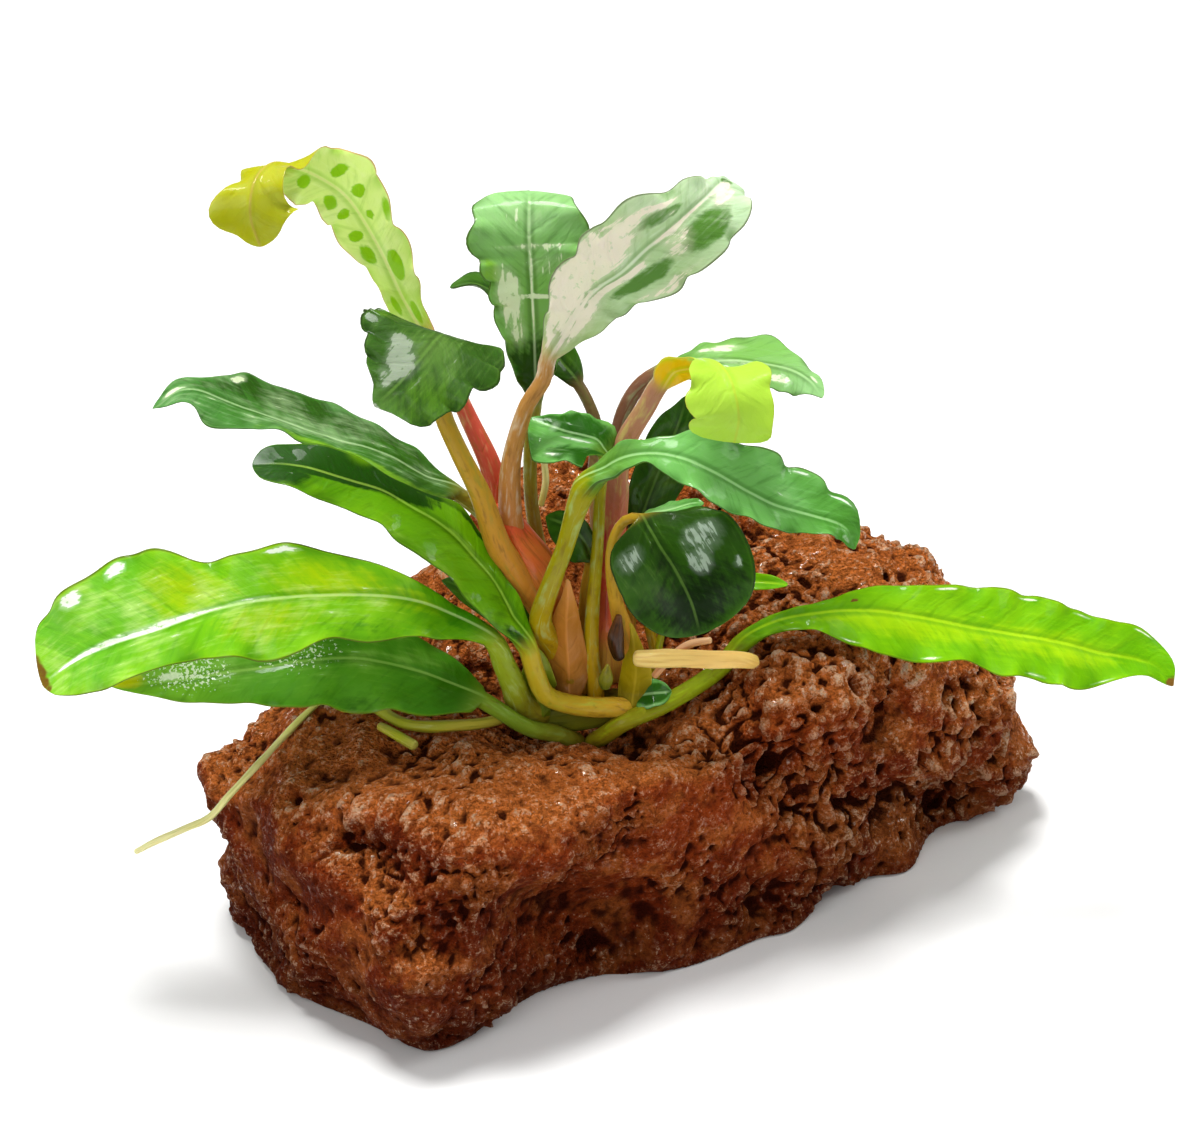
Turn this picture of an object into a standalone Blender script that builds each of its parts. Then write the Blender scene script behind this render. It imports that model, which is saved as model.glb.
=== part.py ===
"""A small Bucephalandra plant grown onto a block of porous lava stone.

Frame: metres, +Z up, the stone stands on Z = 0. The origin is the middle of the stone's flat
underside, +X runs along the stone's length to its right-hand lobe, +Y runs to its back ridge.
Lengths below are in millimetres; MM turns them into metres.
"""
import math

import bmesh
import bpy
from mathutils import Vector, noise

MM = 0.001

SPAN_STEPS = 12             # points drawn between two given points of a centre line
SIGHT = 0.4                 # how far ahead and back along a line its heading is read
BLADE_HALF_THICK = 0.2      # half thickness of a blade at its midrib
EDGE_HALF_WIDTH = 0.15      # least half width of a blade
TIP_THINNING = 0.5          # share of its thickness that a blade loses towards its tip
TIP_RIPPLE = 0.2            # share of its waves that a blade keeps at its tip
STALK_STEP = 6.0            # distance between the rings of a stalk
FOOT_SHARE = 6.0            # the blade grows out of the stalk over one part in this many
MARGIN_SHIFT = 2.0          # how far the waves of one margin run ahead of the other's
STEM_SIDES = 2              # bevel resolution of stems and roots
STEM_STEPS = 2              # rings between two given points of a stem or root

# A leaf's section: places across it, from one margin to the other and back underneath.
RING_T = (-1.0, -0.7, 0.0, 0.7, 1.0, 0.7, 0.0, -0.7)
RING_UP = (0, 1, 1, 1, 0, -1, -1, -1)
# Fractions of the blade at which its half widths are given.
WIDTH_AT = (0.0, 0.12, 0.3, 0.5, 0.7, 0.88, 1.0)

# The stone: a rounded block made of flat sides round its heart.
STONE_HEART = (2.0, 6.0, 14.0)
STONE_ROUNDING = 7.0
STONE_CUTS = (31, 19, 8)    # cuts along the block's length, depth and height
STONE_FLOOR_FADE = 1.5      # the lumps fade out within this height above the underside
STONE_SIDES = {
    "left_end": ((-1.0, 0.0, 0.02), 45.0),
    "front_left": ((-0.69, -0.72, -0.05), 36.2),
    "front_right": ((0.56, -0.83, -0.1), 16.5),
    "right_end": ((0.96, -0.1, 0.15), 46.3),
    "right_under": ((0.66, -0.45, -0.6), 33.0),
    "right_slope": ((0.7, 0.25, 0.68), 38.4),
    "back": ((0.1, 0.99, 0.0), 28.0),
    "back_left": ((-0.66, 0.75, 0.0), 29.5),
    "top": ((0.0, -0.1, 0.99), 13.6),
    "underside": ((0.0, 0.0, -1.0), 17.0),
}
# Lumps all over the stone: their size and their height.
STONE_LUMPS = ((11.0, 2.0), (5.6, 1.1), (3.4, 0.6))
# Swellings and hollows: centre, reach along each axis, and how far the surface is moved.
STONE_FORMS = {
    "back_ridge": ((2.0, 28.0, 30.0), (17.0, 13.0, 30.0), (0.0, 0.0, 13.0)),
    "ridge_right": ((30.0, 22.0, 28.0), (12.0, 10.0, 20.0), (0.0, 0.0, 4.0)),
    "left_shoulder": ((-40.0, 3.0, 19.0), (9.0, 10.0, 7.0), (-3.5, 0.0, 0.0)),
    "crown_hollow": ((-1.0, 2.0, 25.0), (15.0, 8.0, 14.0), (0.0, 0.0, -6.6)),
    "left_fall": ((-38.0, 4.0, 26.0), (11.0, 16.0, 9.0), (0.5, 0.0, -4.6)),
    "right_rise": ((22.0, 4.0, 26.0), (9.0, 8.0, 12.0), (0.0, 0.0, 2.0)),
    "nose": ((-18.0, -20.0, 8.0), (11.0, 12.0, 16.0), (0.0, -5.0, 0.0)),
    "nose_foot": ((-7.5, -25.0, 0.0), (8.5, 9.0, 8.0), (0.0, 3.9, 0.0)),
    "nose_left": ((-23.0, -23.0, 0.0), (7.0, 8.0, 6.0), (0.8, 1.9, 0.0)),
    "left_foot": ((-30.0, -9.0, 4.0), (11.0, 10.0, 9.0), (-2.6, -1.8, 0.0)),
    "front_notch": ((-2.0, -15.0, 6.0), (10.0, 9.0, 14.0), (0.0, 5.2, 0.0)),
    "front_foot": ((13.0, -9.0, 0.0), (14.0, 9.0, 9.0), (0.6, -2.2, 0.0)),
    "lobe_lift": ((38.0, 8.0, 4.0), (8.0, 9.0, 7.0), (0.0, 4.0, 0.6)),
    "nose_hollow": ((-22.5, -21.0, 21.4), (8.5, 6.0, 3.0), (2.0, 5.0, -1.4)),
    "nose_valley": ((-16.3, -26.5, 17.0), (3.0, 6.5, 8.0), (0.8, 4.2, 0.4)),
    "front_undercut": ((-5.0, -18.0, 11.5), (10.0, 8.0, 5.5), (-1.2, 3.6, 0.0)),
    "front_ledge": ((-5.5, -18.5, 19.4), (9.0, 6.0, 3.0), (0.8, -1.6, 0.5)),
    "lobe_cleft": ((29.6, 3.6, 24.0), (2.4, 6.0, 5.5), (-0.6, 4.4, -1.5)),
    "lobe_undercut": ((36.6, 9.6, 8.6), (5.5, 6.5, 3.0), (-2.6, 3.2, 1.0)),
    "right_hollow": ((34.0, 27.0, 14.0), (6.0, 6.0, 5.0), (-2.0, -3.0, 0.0)),
    "back_hollow": ((-6.0, 34.0, 18.0), (7.0, 6.0, 5.0), (0.0, -3.4, 0.0)),
    "back_left_hollow": ((-30.0, 22.0, 14.0), (5.0, 6.0, 6.0), (2.4, -2.4, 0.0)),
    "ridge_fall": ((31.0, 22.0, 28.0), (6.0, 9.0, 8.0), (0.0, 0.0, -1.3)),
    "foot_knob": ((20.5, -1.0, 0.0), (4.0, 6.0, 4.0), (0.3, -2.4, 0.0)),
    "foot_gap": ((25.2, 4.0, 1.0), (3.4, 6.0, 4.0), (-0.4, 2.4, 0.0)),
    "right_knob": ((33.4, 10.5, 1.0), (3.4, 6.0, 5.0), (1.2, -3.6, 0.0)),
    "right_gap": ((38.2, 13.0, 3.0), (4.0, 6.0, 4.0), (-1.0, 3.4, 1.0)),
    "left_cave": ((-34.7, -6.4, 4.8), (3.0, 5.0, 2.4), (2.6, 1.6, 0.0)),
    "left_chip": ((-31.0, -13.0, 12.0), (3.0, 5.0, 3.0), (1.4, 1.4, 0.0)),
    "seam_top": ((15.4, -3.0, 24.6), (2.4, 3.0, 2.4), (-0.6, 2.4, -1.6)),
    "seam_upper": ((18.3, -4.2, 21.6), (2.4, 3.5, 2.6), (-1.2, 2.6, -0.8)),
    "seam_middle": ((21.5, -1.6, 16.4), (2.6, 3.5, 3.0), (-1.4, 2.8, 0.0)),
    "seam_foot": ((17.8, -2.4, 4.6), (1.8, 3.4, 4.6), (-1.2, 2.4, 0.0)),
    "lobe_dent": ((27.0, 1.6, 12.0), (2.4, 4.0, 2.4), (-1.2, 2.2, 0.0)),
}

# Stalks, stems and roots: centre line and the radius at its points.
STEMS = {
    "rhizome": dict(path=((-9.5, 0, 25.6), (-5.5, 1.2, 25.1), (-1, 2.4, 25), (4, 4, 25.2)),
                    radius=(1.2, 1.9, 2.0, 1.1), slot="stem"),
    "left_shoot": dict(path=((-3, 1.6, 27.6), (-3, 1.6, 30), (-3.5, 2, 33), (-4.5, 2.2, 37.5),
                             (-6.5, 2.4, 42), (-8.8, 2.4, 45)),
                       radius=(1.8, 1.7, 1.6, 1.6, 1.5, 1.2), slot="stem"),
    "right_shoot": dict(path=((0.8, 4.2, 27.6), (0.6, 4.2, 32.5), (0.7, 4.2, 38), (1, 4.4, 44),
                              (1.3, 4.5, 47.5)),
                        radius=(1.3, 1.2, 1.1, 1.1, 0.9), slot="stem"),
    "new_bud": dict(path=((0.5, -0.7, 29.4), (0.6, -0.8, 30.8), (0.8, -0.8, 32.4)),
                    radius=(0.5, 0.7, 0.15), slot="stem"),
    "old_sheath": dict(path=((2.6, -1.9, 33.6), (2.3, -1.8, 35.8), (2.5, -1.8, 38.6)),
                       radius=(0.45, 0.5, 0.25), slot="old_sheath"),
    "right_root": dict(path=((4.4, -0.6, 32.8), (6.2, -0.2, 32.8), (8.4, 0.3, 32.6), (11.5, 1.1, 32.2),
                             (14.4, 2.4, 31.1), (15.6, 4.4, 29.3)),
                       radius=(0.9, 0.95, 0.95, 0.95, 0.9, 0.7), slot="root"),
    "pink_root": dict(path=((11.5, -2.5, 36), (9, -2.6, 35.4), (7.4, -2.6, 34), (6, -2, 31.5)),
                      radius=(0.35, 0.4, 0.4, 0.4), slot="root"),
    "left_root": dict(path=((-9.8, -3, 27.2), (-13.5, -4.4, 27.4), (-19.5, -4.4, 27.5),
                            (-24, 1, 26.8), (-28.5, 5, 26.4)),
                      radius=(0.5, 0.6, 0.6, 0.55, 0.45), slot="root"),
    "left_root_branch": dict(path=((-22.4, -3.6, 26.8), (-20.8, -5.4, 27), (-18.5, -7.8, 27)),
                             radius=(0.4, 0.55, 0.55), slot="root"),
    "hanging_root": dict(path=((-28, 3.6, 26), (-30.5, 0.5, 25.2), (-34.8, -6.2, 23.6), (-37.3, -8, 21.5),
                               (-39.5, -8.5, 19), (-42, -8.8, 17.8), (-45, -9, 16.4), (-47.3, -9, 15)),
                         radius=(0.3, 0.35, 0.35, 0.35, 0.4, 0.35, 0.35, 0.3), slot="root"),
    "back_root": dict(path=((-6, 6.8, 46.5), (-5.5, 7, 49), (-5.6, 7.4, 51), (-6, 7.4, 53)),
                      radius=(0.3, 0.35, 0.35, 0.3), slot="root"),
}

# Leaves. path: stalk and midrib from foot to tip; blade: point of the path where the blade begins;
# stalk: stalk radius; right and left: half widths at WIDTH_AT, looking at the upper face with the
# tip up; across: direction of the right-hand margin at fractions of the blade; cup: how far the
# margins rise towards the upper face; ripple: waves along the margin and their height.
LEAVES = {
    "long_left_leaf": dict(
        path=((-8.2, -1.2, 28), (-8.7, -2.8, 31), (-9.6, -3.6, 34), (-11, -4, 37.5), (-16, -5, 41.5),
              (-21.5, -6, 43.5), (-29.5, -7, 44), (-36.5, -8, 43.5), (-44.5, -8, 40.5), (-51, -8, 38),
              (-55.5, -8, 34.5)),
        blade=3, stalk=1.0, right=(1, 2.6, 4.8, 5.4, 7.4, 6, 2.2), left=(1, 2.8, 4.4, 5.6, 4.2, 3, .3),
        across=((0, (.1, .6, .8)), (1, (.2, .6, .8))), cup=.08, ripple=(4, .6), steps=16,
        slot="leaf_bright"),
    "lower_left_leaf": dict(
        path=((-5, -2.4, 25.2), (-7.6, -4, 27), (-12, -4, 30), (-17, -3.6, 32.4), (-22, -3.4, 33.6),
              (-28, -4, 34.2), (-35, -5, 33.6), (-42, -6, 32.6), (-49, -6, 31.6)),
        blade=2, stalk=.8, right=(1.2, 2.8, 3.7, 3.8, 3.2, 2, .2), left=(1.6, 4.2, 5.9, 5.6, 4, 2.2, .2),
        across=((0, (.1, .8, .6)), (1, (.2, .8, .6))), cup=.1, ripple=(4, .4), steps=13,
        slot="leaf_bright"),
    "upper_left_leaf": dict(
        path=((-5.2, 6.8, 29.4), (-8, 7.6, 37.8), (-11, 7.8, 43.8), (-14.5, 7.4, 47.7), (-18, 6.8, 50.2),
              (-22, 6.4, 52.7), (-27, 6.2, 54.8), (-32, 6, 56.9), (-36.5, 5, 59.2), (-41, 3.6, 61.2),
              (-44, 1.6, 60.4)),
        blade=3, stalk=.8, right=(.8, 2.6, 3.9, 4.8, 4.2, 2, .2), left=(.8, 2.8, 3.2, 3.6, 5, 3.4, .3),
        across=((0, (.1, 1, .1)), (1, (.1, 1, .1))), cup=.12, ripple=(4, .5), steps=13, slot="leaf_dark"),
    "middle_left_leaf": dict(
        path=((-0.4, -2, 28), (-3, -2.4, 28.6), (-5.5, -2.8, 30), (-6.6, -3, 33), (-7.2, -3, 35.5),
              (-8.4, -2.6, 38.5), (-11, -2, 43.5), (-15, -1, 48), (-20, 0, 51), (-25.5, 0, 53.5),
              (-30.5, 0, 55), (-34.3, 0, 55)),
        blade=4, stalk=1.0, right=(1, 1.4, 2.2, 2.6, 2.4, 2.2, .2), left=(1, 3, 5, 4.7, 4, 2.4, .2),
        across=((0, (.3, .8, .4)), (1, (.1, .9, .4))), cup=.12, ripple=(3, .35), steps=14,
        slot="leaf_bright"),
    "curled_tip_leaf": dict(
        path=((-10, 4.9, 47.4), (-11, 5.4, 52), (-13, 6.4, 56.5), (-15, 7, 61.1), (-17, 7.4, 65.3),
              (-19, 7.4, 68.8), (-20.5, 6.8, 72.9), (-22.5, 6, 77.9), (-24.5, 4.8, 81.8), (-27.5, 3, 85),
              (-30, 1, 86.8), (-31.5, -1.4, 87.4), (-32.6, -3.6, 86.4), (-32.8, -4.8, 84), (-32, -4.8, 81)),
        blade=4, stalk=.85, right=(.9, 2.6, 3.4, 4.4, 3.8, 3.4, 1), left=(.9, 2, 2.8, 3.4, 2.8, 3, .8),
        across=((0, (1, 0, .3)), (.45, (.6, 0, .7)), (.62, (.1, -.1, 1)), (.74, (.7, -.5, .3)),
                (.86, (1, 0, 0)), (1, (1, 0, 0))),
        cup=.1, ripple=(3, .35), steps=18, slot="leaf_yellow"),
    "hooded_leaf": dict(
        path=((-10.2, 0, 46), (-11.8, 0, 51.5), (-14, .4, 56.5), (-15.5, 1, 60.4), (-15.8, 1.6, 64.2),
              (-15.2, 1.5, 67.2), (-14.9, .3, 69.3), (-15.4, -1.9, 70.3), (-16.8, -4.6, 69.7), (-19,
              -7.2, 68),
              (-21.5, -9, 66.2)),
        blade=5, stalk=.85, right=(.8, 4.8, 7, 7, 5.2, 2.6, .3), left=(.8, 4.2, 6.6, 6.6, 5.8, 4.2, .3),
        across=((0, (-.97, .2, .12)), (.4, (-.88, .3, .35)), (1, (-.8, .3, .45))),
        cup=-.1, ripple=(3, .4), steps=15, slot="leaf_dark"),
    "centre_leaf": dict(
        path=((-4.4, 8.6, 33.4), (-6, 8.9, 39.6), (-7, 9, 46), (-7, 10, 52.5), (-6.5, 10.6, 56.5), (-6.5,
              10.8, 60),
              (-6.6, 11, 64.5), (-6.8, 11.2, 70), (-7, 12, 74), (-7, 13.6, 76.6), (-7, 16, 77.2)),
        blade=4, stalk=.7, right=(.7, 2, 3.6, 4.6, 5.2, 5.6, 2.6), left=(.7, 2, 3.4, 4.6, 5.4, 5.4, 2.4),
        across=((0, (1, 0, 0)), (1, (1, 0, 0))), cup=.08, ripple=(3, .4), steps=12, slot="leaf_dark"),
    "tall_right_leaf": dict(
        path=((-9, 2.4, 49.4), (-8.8, 2.6, 54), (-7.4, 3, 59.5), (-5.6, 3.6, 62.5), (-5, 4, 65), (-3, 4,
              68),
              (-1, 4, 71.5), (2, 4, 74), (4.5, 4.2, 76.5), (7.5, 5, 78.8), (10, 6.8, 80.4), (11.8, 9.4, 81),
              (12.8, 12.4, 80)),
        blade=4, stalk=.85, right=(.85, 3, 3.6, 5, 5.6, 4.2, .8), left=(.85, 3, 5.2, 5.6, 4, 2.8, .6),
        across=((0, (.7, 0, -.7)), (.7, (.7, 0, -.6)), (1, (.9, -.2, -.3))), cup=.06, ripple=(3, .4),
        steps=14, slot="leaf_dark"),
    "back_right_leaf": dict(
        path=((1.6, 7.8, 45), (1.8, 10, 49), (2, 12, 53), (3.5, 12.6, 56.5), (5.8, 12.6, 58.6), (9, 12.6,
              59.6),
              (12.5, 12.4, 60), (16, 12, 60.2), (19, 11, 59.9), (21, 9.6, 59.2), (22.2, 8, 58.2)),
        blade=4, stalk=.8, right=(.8, 1.6, 2.6, 3.2, 3.6, 3, .4), left=(.8, 1.6, 3, 4.6, 5, 3.4, .4),
        across=((0, (-.1, -.95, -.25)), (1, (-.1, -.95, -.25))), cup=-.22, ripple=(3, .4), steps=11,
        slot="leaf_dark"),
    "folded_yellow_leaf": dict(
        path=((1.6, 4.6, 49.2), (1.7, 4.6, 52), (2.7, 4.5, 55.5), (4.5, 4.3, 59), (6, 4, 62), (8, 3, 64),
              (10.4, .8, 65.6), (12.2, -2.2, 66), (13, -4.2, 65), (13.4, -5, 62.8), (13, -4.8, 60)),
        blade=4, stalk=.9, right=(.9, 1.4, 2, 2.8, 3, 3, 2.2), left=(.9, 1.4, 2, 3.4, 4.2, 4.2, 3),
        across=((0, (.7, .3, -.6)), (.35, (.6, .3, -.5)), (.5, (.9, .1, 0)), (.7, (1, 0, 0)), (1, (1, 0,
        0))),
        cup=-.15, ripple=(2, .4), steps=13, slot="leaf_yellow"),
    "arching_right_leaf": dict(
        path=((-6, -1.4, 38), (-4.6, -2.2, 43.5), (-3.5, -2.6, 47), (-2.5, -3, 51), (-1.5, -3.2, 54),
              (0, -3.6, 56.2), (2.5, -4, 58), (5.5, -4.4, 58.6), (8.5, -5, 58.2), (11.5, -5, 56.6),
              (14.5, -5, 54.6), (17.5, -5, 53), (21, -5, 51.8), (24, -5.2, 50.8), (25, -5.6, 48.6)),
        blade=4, stalk=.85, right=(1.3, 1.9, 2.2, 3, 2.2, 1.4, .3), left=(1.3, 2, 1.4, 2.4, 4.6, 3.2, .3),
        across=((0, (-.1, -.8, -.5)), (.4, (-.2, -.7, -.5)), (1, (-.3, -.7, -.5))), cup=.12, ripple=(5,
        .45),
        steps=15, slot="leaf_dark"),
    "small_crown_leaf": dict(
        path=((-0.5, .9, 28.8), (-0.9, 1, 34.5), (-.2, 1, 46), (0, 1.4, 51), (.4, 2.4, 54.5), (-.2, 3, 56),
              (-1.6, 3.2, 56.6), (-3.5, 3.8, 56.8), (-5, 4.8, 56.8), (-7, 5.8, 57)),
        blade=4, stalk=.6, right=(.7, 1.8, 2.2, 2, 1.6, 1, .2), left=(.7, 2.2, 3.2, 3.6, 3.4, 2, .2),
        across=((0, (.2, .9, .4)), (1, (0, .9, .4))), cup=.1, ripple=(2, .2), steps=9, slot="leaf_dark"),
    "round_hanging_leaf": dict(
        path=((3.7, 2.2, 29.6), (3, 1, 33), (1.6, -.5, 39.5), (1.1, -1.2, 44.5), (1.3, -.9, 48.2),
              (2.4, -.4, 50.4), (4, -1.2, 51.2), (5, -2.6, 50.2), (6, -3.6, 48.2), (7.5, -4.4, 45.6),
              (9, -5.2, 42.4), (10, -5.6, 38.8)),
        blade=6, stalk=.75, right=(.8, 4, 5.4, 6.2, 6, 4.6, 1.6), left=(.8, 4.6, 7, 7.4, 6.8, 5, 1.6),
        across=((0, (-1, 0, 0)), (.5, (-.9, -.1, -.35)), (1, (-.83, -.2, -.45))),
        cup=-.08, ripple=(1, .2), steps=12, slot="leaf_dark"),
    "long_right_leaf": dict(
        path=((2.6, -1.8, 26.2), (6, .6, 26.4), (9.4, 3.2, 27), (12.4, 5.6, 28), (14.4, 6.8, 30), (17, 7,
              32.2),
              (20, 7, 33.4), (24, 7, 34), (28.5, 7, 34), (33, 7, 33.2), (40, 6.5, 32), (46.5, 6, 31),
              (51.5, 6, 29.6), (57, 6, 28.2), (59.2, 5, 26.2)),
        blade=4, stalk=1.05, right=(1, 2.4, 4.2, 4.6, 4.4, 2.8, .4), left=(1, 1.8, 2.4, 3.6, 4, 3, .4),
        across=((0, (0, -.6, -.7)), (1, (0, -.6, -.7))), cup=.1, ripple=(6, .5), steps=16,
        slot="leaf_bright"),
    "small_side_leaf": dict(
        path=((5.6, 6.6, 29.6), (4.2, 7.2, 36), (3.8, 7.8, 41.5), (4.6, 7.8, 44.6), (6.6, 7.4, 45.6),
              (8.6, 7, 46.4), (10.5, 6.8, 46.8)),
        blade=3, stalk=.45, right=(.5, 1.4, 2, 2.2, 1.8, 1, .2), left=(.5, 1, 1.2, 1.2, 1.2, .8, .2),
        across=((0, (0, -1, 0)), (1, (0, -1, 0))), cup=.1, ripple=(2, .15), steps=7, slot="leaf_dark"),
    "twisted_dark_leaf": dict(
        path=((3.2, 7.6, 34), (3.2, 9.4, 37.5), (3.5, 10.8, 40.5), (4.5, 11.2, 43.5), (5.8, 11.2, 47.5),
              (7.2, 11.2, 51.5), (8.2, 11, 54.6), (8.8, 10.8, 57)),
        blade=2, stalk=.55, right=(.6, 1.6, 2.6, 2.9, 2.4, 1.5, .2), left=(.6, 1.3, 2.2, 2.6, 2.6, 1.6, .2),
        across=((0, (.85, .2, -.5)), (1, (.85, .2, -.5))), cup=.12, ripple=(2, .2), steps=9,
        slot="leaf_dark"),
    "back_centre_leaf": dict(
        path=((-.3, 7.4, 45), (-.6, 9.6, 49), (-.3, 12, 52.5), (-1.2, 13.2, 55), (-2.2, 14, 56.6), (-3.4,
              14.8, 58.2),
              (-5.2, 15.4, 60.6), (-7.6, 15.6, 63.5), (-10, 15.4, 66), (-12.6, 14.8, 67.8), (-15, 13.8,
              67.6)),
        blade=4, stalk=.6, right=(.7, 1.8, 2.6, 2.8, 2.4, 2, .4), left=(.7, 1.6, 2.4, 2.6, 2.4, 2, .4),
        across=((0, (.8, .3, .3)), (.3, (.3, .95, .2)), (1, (.1, .95, -.2))), cup=.1, ripple=(2, .2),
        steps=10,
        slot="leaf_dark"),
    "inner_dark_leaf": dict(
        path=((-1.6, 4, 28.4), (-1.8, 4.2, 32.5), (-1.5, 4, 38.5), (-1, 3.6, 42), (-1.3, 3.2, 44), (-2.4,
              2.8, 45.8),
              (-3.8, 2.4, 47), (-5.4, 1.8, 48)),
        blade=3, stalk=.5, right=(.5, 1, 1.3, 1.4, 1.4, 1, .2), left=(.5, 1.6, 2.6, 2.7, 2.3, 1.4, .2),
        across=((0, (.32, .48, .64)), (1, (.32, .48, .64))), cup=.1, ripple=(2, .1), steps=7,
        slot="leaf_dark"),
    "small_bright_leaf": dict(
        path=((5.8, 4.4, 30), (7, 4.8, 35), (10, 4.8, 37.6), (13.5, 4.8, 38.8), (16.5, 4.2, 39.2), (19,
              3.2, 39.4)),
        blade=2, stalk=.35, right=(.4, .7, .9, 1, .9, .7, .2), left=(.4, .7, .9, 1, .9, .7, .2),
        across=((0, (0, -.9, -.4)), (1, (0, -.9, -.4))), cup=.1, ripple=(1, .1), steps=6,
        slot="leaf_bright"),
    "base_leaf": dict(
        path=((2.8, 1.6, 27.2), (3.6, .9, 28), (4.8, .7, 28.7), (6, .7, 29), (7.6, .8, 29.2)),
        blade=1, stalk=.4, right=(.4, .9, 1.2, 1.3, 1.1, .7, .2), left=(.4, .9, 1.2, 1.3, 1.1, .7, .2),
        across=((0, (0, -.7, -.7)), (1, (0, -.7, -.7))), cup=.1, ripple=(1, .1), steps=6,
        slot="leaf_bright"),
    "hidden_left_leaf": dict(
        path=((-5.4, 4.2, 29.8), (-6.2, 3.8, 33), (-8.2, 3.6, 35.2), (-10.8, 3.4, 37.2), (-13.5, 3,
              38.8), (-16, 3, 40)),
        blade=1, stalk=.55, right=(.6, 1.6, 2.3, 2.5, 2, 1.2, .2), left=(.6, 1.6, 2.3, 2.5, 2, 1.2, .2),
        across=((0, (.3, .9, .4)), (1, (.3, .9, .4))), cup=.1, ripple=(1, .1), steps=7, slot="leaf_dark"),
}

# Base colour, metallic and roughness of each material.
MATERIALS = {
    "leaf_bright": ((0.30, 0.52, 0.08), 0.0, 0.28),
    "leaf_dark": ((0.07, 0.22, 0.06), 0.0, 0.22),
    "leaf_yellow": ((0.62, 0.68, 0.12), 0.0, 0.3),
    "stem": ((0.52, 0.27, 0.13), 0.0, 0.35),
    "old_sheath": ((0.16, 0.08, 0.04), 0.0, 0.8),
    "root": ((0.72, 0.62, 0.32), 0.0, 0.45),
    "lava_stone": ((0.33, 0.13, 0.07), 0.0, 0.75),
}


def clear_scene():
    """Remove the objects the file opened with."""
    for obj in list(bpy.data.objects):
        bpy.data.objects.remove(obj, do_unlink=True)


def make_material(name):
    """One material with its base colour, metallic and roughness."""
    colour, metallic, roughness = MATERIALS[name]
    material = bpy.data.materials.new(name)
    material.use_nodes = True
    shader = material.node_tree.nodes["Principled BSDF"]
    shader.inputs["Base Color"].default_value = (*colour, 1.0)
    shader.inputs["Metallic"].default_value = metallic
    shader.inputs["Roughness"].default_value = roughness
    return material


def smooth_line(points, per_span=SPAN_STEPS):
    """Points along a smooth curve through the given points, with the distance to each."""
    pts = [Vector(p) for p in points]
    pts = [2 * pts[0] - pts[1]] + pts + [2 * pts[-1] - pts[-2]]
    line = []
    for i in range(1, len(pts) - 2):
        a, b, c, d = pts[i - 1:i + 3]
        for k in range(per_span):
            t = k / per_span
            line.append(0.5 * (2 * b + (c - a) * t + (2 * a - 5 * b + 4 * c - d) * t ** 2
                               + (3 * b - a - 3 * c + d) * t ** 3))
    line.append(pts[-2])
    run = [0.0]
    for a, b in zip(line, line[1:]):
        run.append(run[-1] + (b - a).length)
    return line, run


def value_at(xs, ys, x):
    """Straight-line value between listed pairs, for numbers or vectors."""
    if x <= xs[0]:
        return ys[0]
    for x0, x1, y0, y1 in zip(xs, xs[1:], ys, ys[1:]):
        if x <= x1:
            return y0 + (y1 - y0) * ((x - x0) / (x1 - x0))
    return ys[-1]


def smooth_value(xs, ys, x):
    """Value eased between listed pairs, without corners."""
    for i in range(len(xs) - 1):
        if x <= xs[i + 1] or i == len(xs) - 2:
            break
    low, high = xs[i], xs[i + 1]
    t = min(max((x - low) / (high - low), 0.0), 1.0)
    slope = [0.0] * len(xs)
    for k in range(1, len(xs) - 1):
        slope[k] = (ys[k + 1] - ys[k - 1]) / (xs[k + 1] - xs[k - 1])
    slope[0] = (ys[1] - ys[0]) / (xs[1] - xs[0])
    slope[-1] = (ys[-1] - ys[-2]) / (xs[-1] - xs[-2])
    span = high - low
    return ((2 * t ** 3 - 3 * t ** 2 + 1) * ys[i] + (t ** 3 - 2 * t ** 2 + t) * span * slope[i]
            + (3 * t ** 2 - 2 * t ** 3) * ys[i + 1] + (t ** 3 - t ** 2) * span * slope[i + 1])


def loft(name, rings, slot):
    """A closed body through rings of equal length, with a cap at each end."""
    bm = bmesh.new()
    verts = [[bm.verts.new(p * MM) for p in ring] for ring in rings]
    count = len(rings[0])
    for low, high in zip(verts, verts[1:]):
        for k in range(count):
            bm.faces.new((low[k], low[(k + 1) % count], high[(k + 1) % count], high[k]))
    bm.faces.new(list(reversed(verts[0])))
    bm.faces.new(verts[-1])
    bmesh.ops.recalc_face_normals(bm, faces=bm.faces)
    return finish(name, bm, slot)


def finish(name, bm, slot):
    """Turn the worked mesh into a named object with its material."""
    bmesh.ops.triangulate(bm, faces=bm.faces)
    mesh = bpy.data.meshes.new(name)
    bm.to_mesh(mesh)
    bm.free()
    for poly in mesh.polygons:
        poly.use_smooth = True
    obj = bpy.data.objects.new(name, mesh)
    mesh.materials.append(MATERIAL_DATA[slot])
    COLLECTION.objects.link(obj)
    return obj


def leaf_stations(spec):
    """Distances along a leaf at which its section is drawn, evenly up the stalk and up the blade."""
    line, run = smooth_line(spec["path"])
    start = run[spec["blade"] * SPAN_STEPS]
    stalk_steps = max(2, round(start / STALK_STEP))
    at = [start * k / stalk_steps for k in range(stalk_steps)]
    at += [start + (run[-1] - start) * k / spec["steps"] for k in range(spec["steps"] + 1)]
    return line, run, start, at


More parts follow.
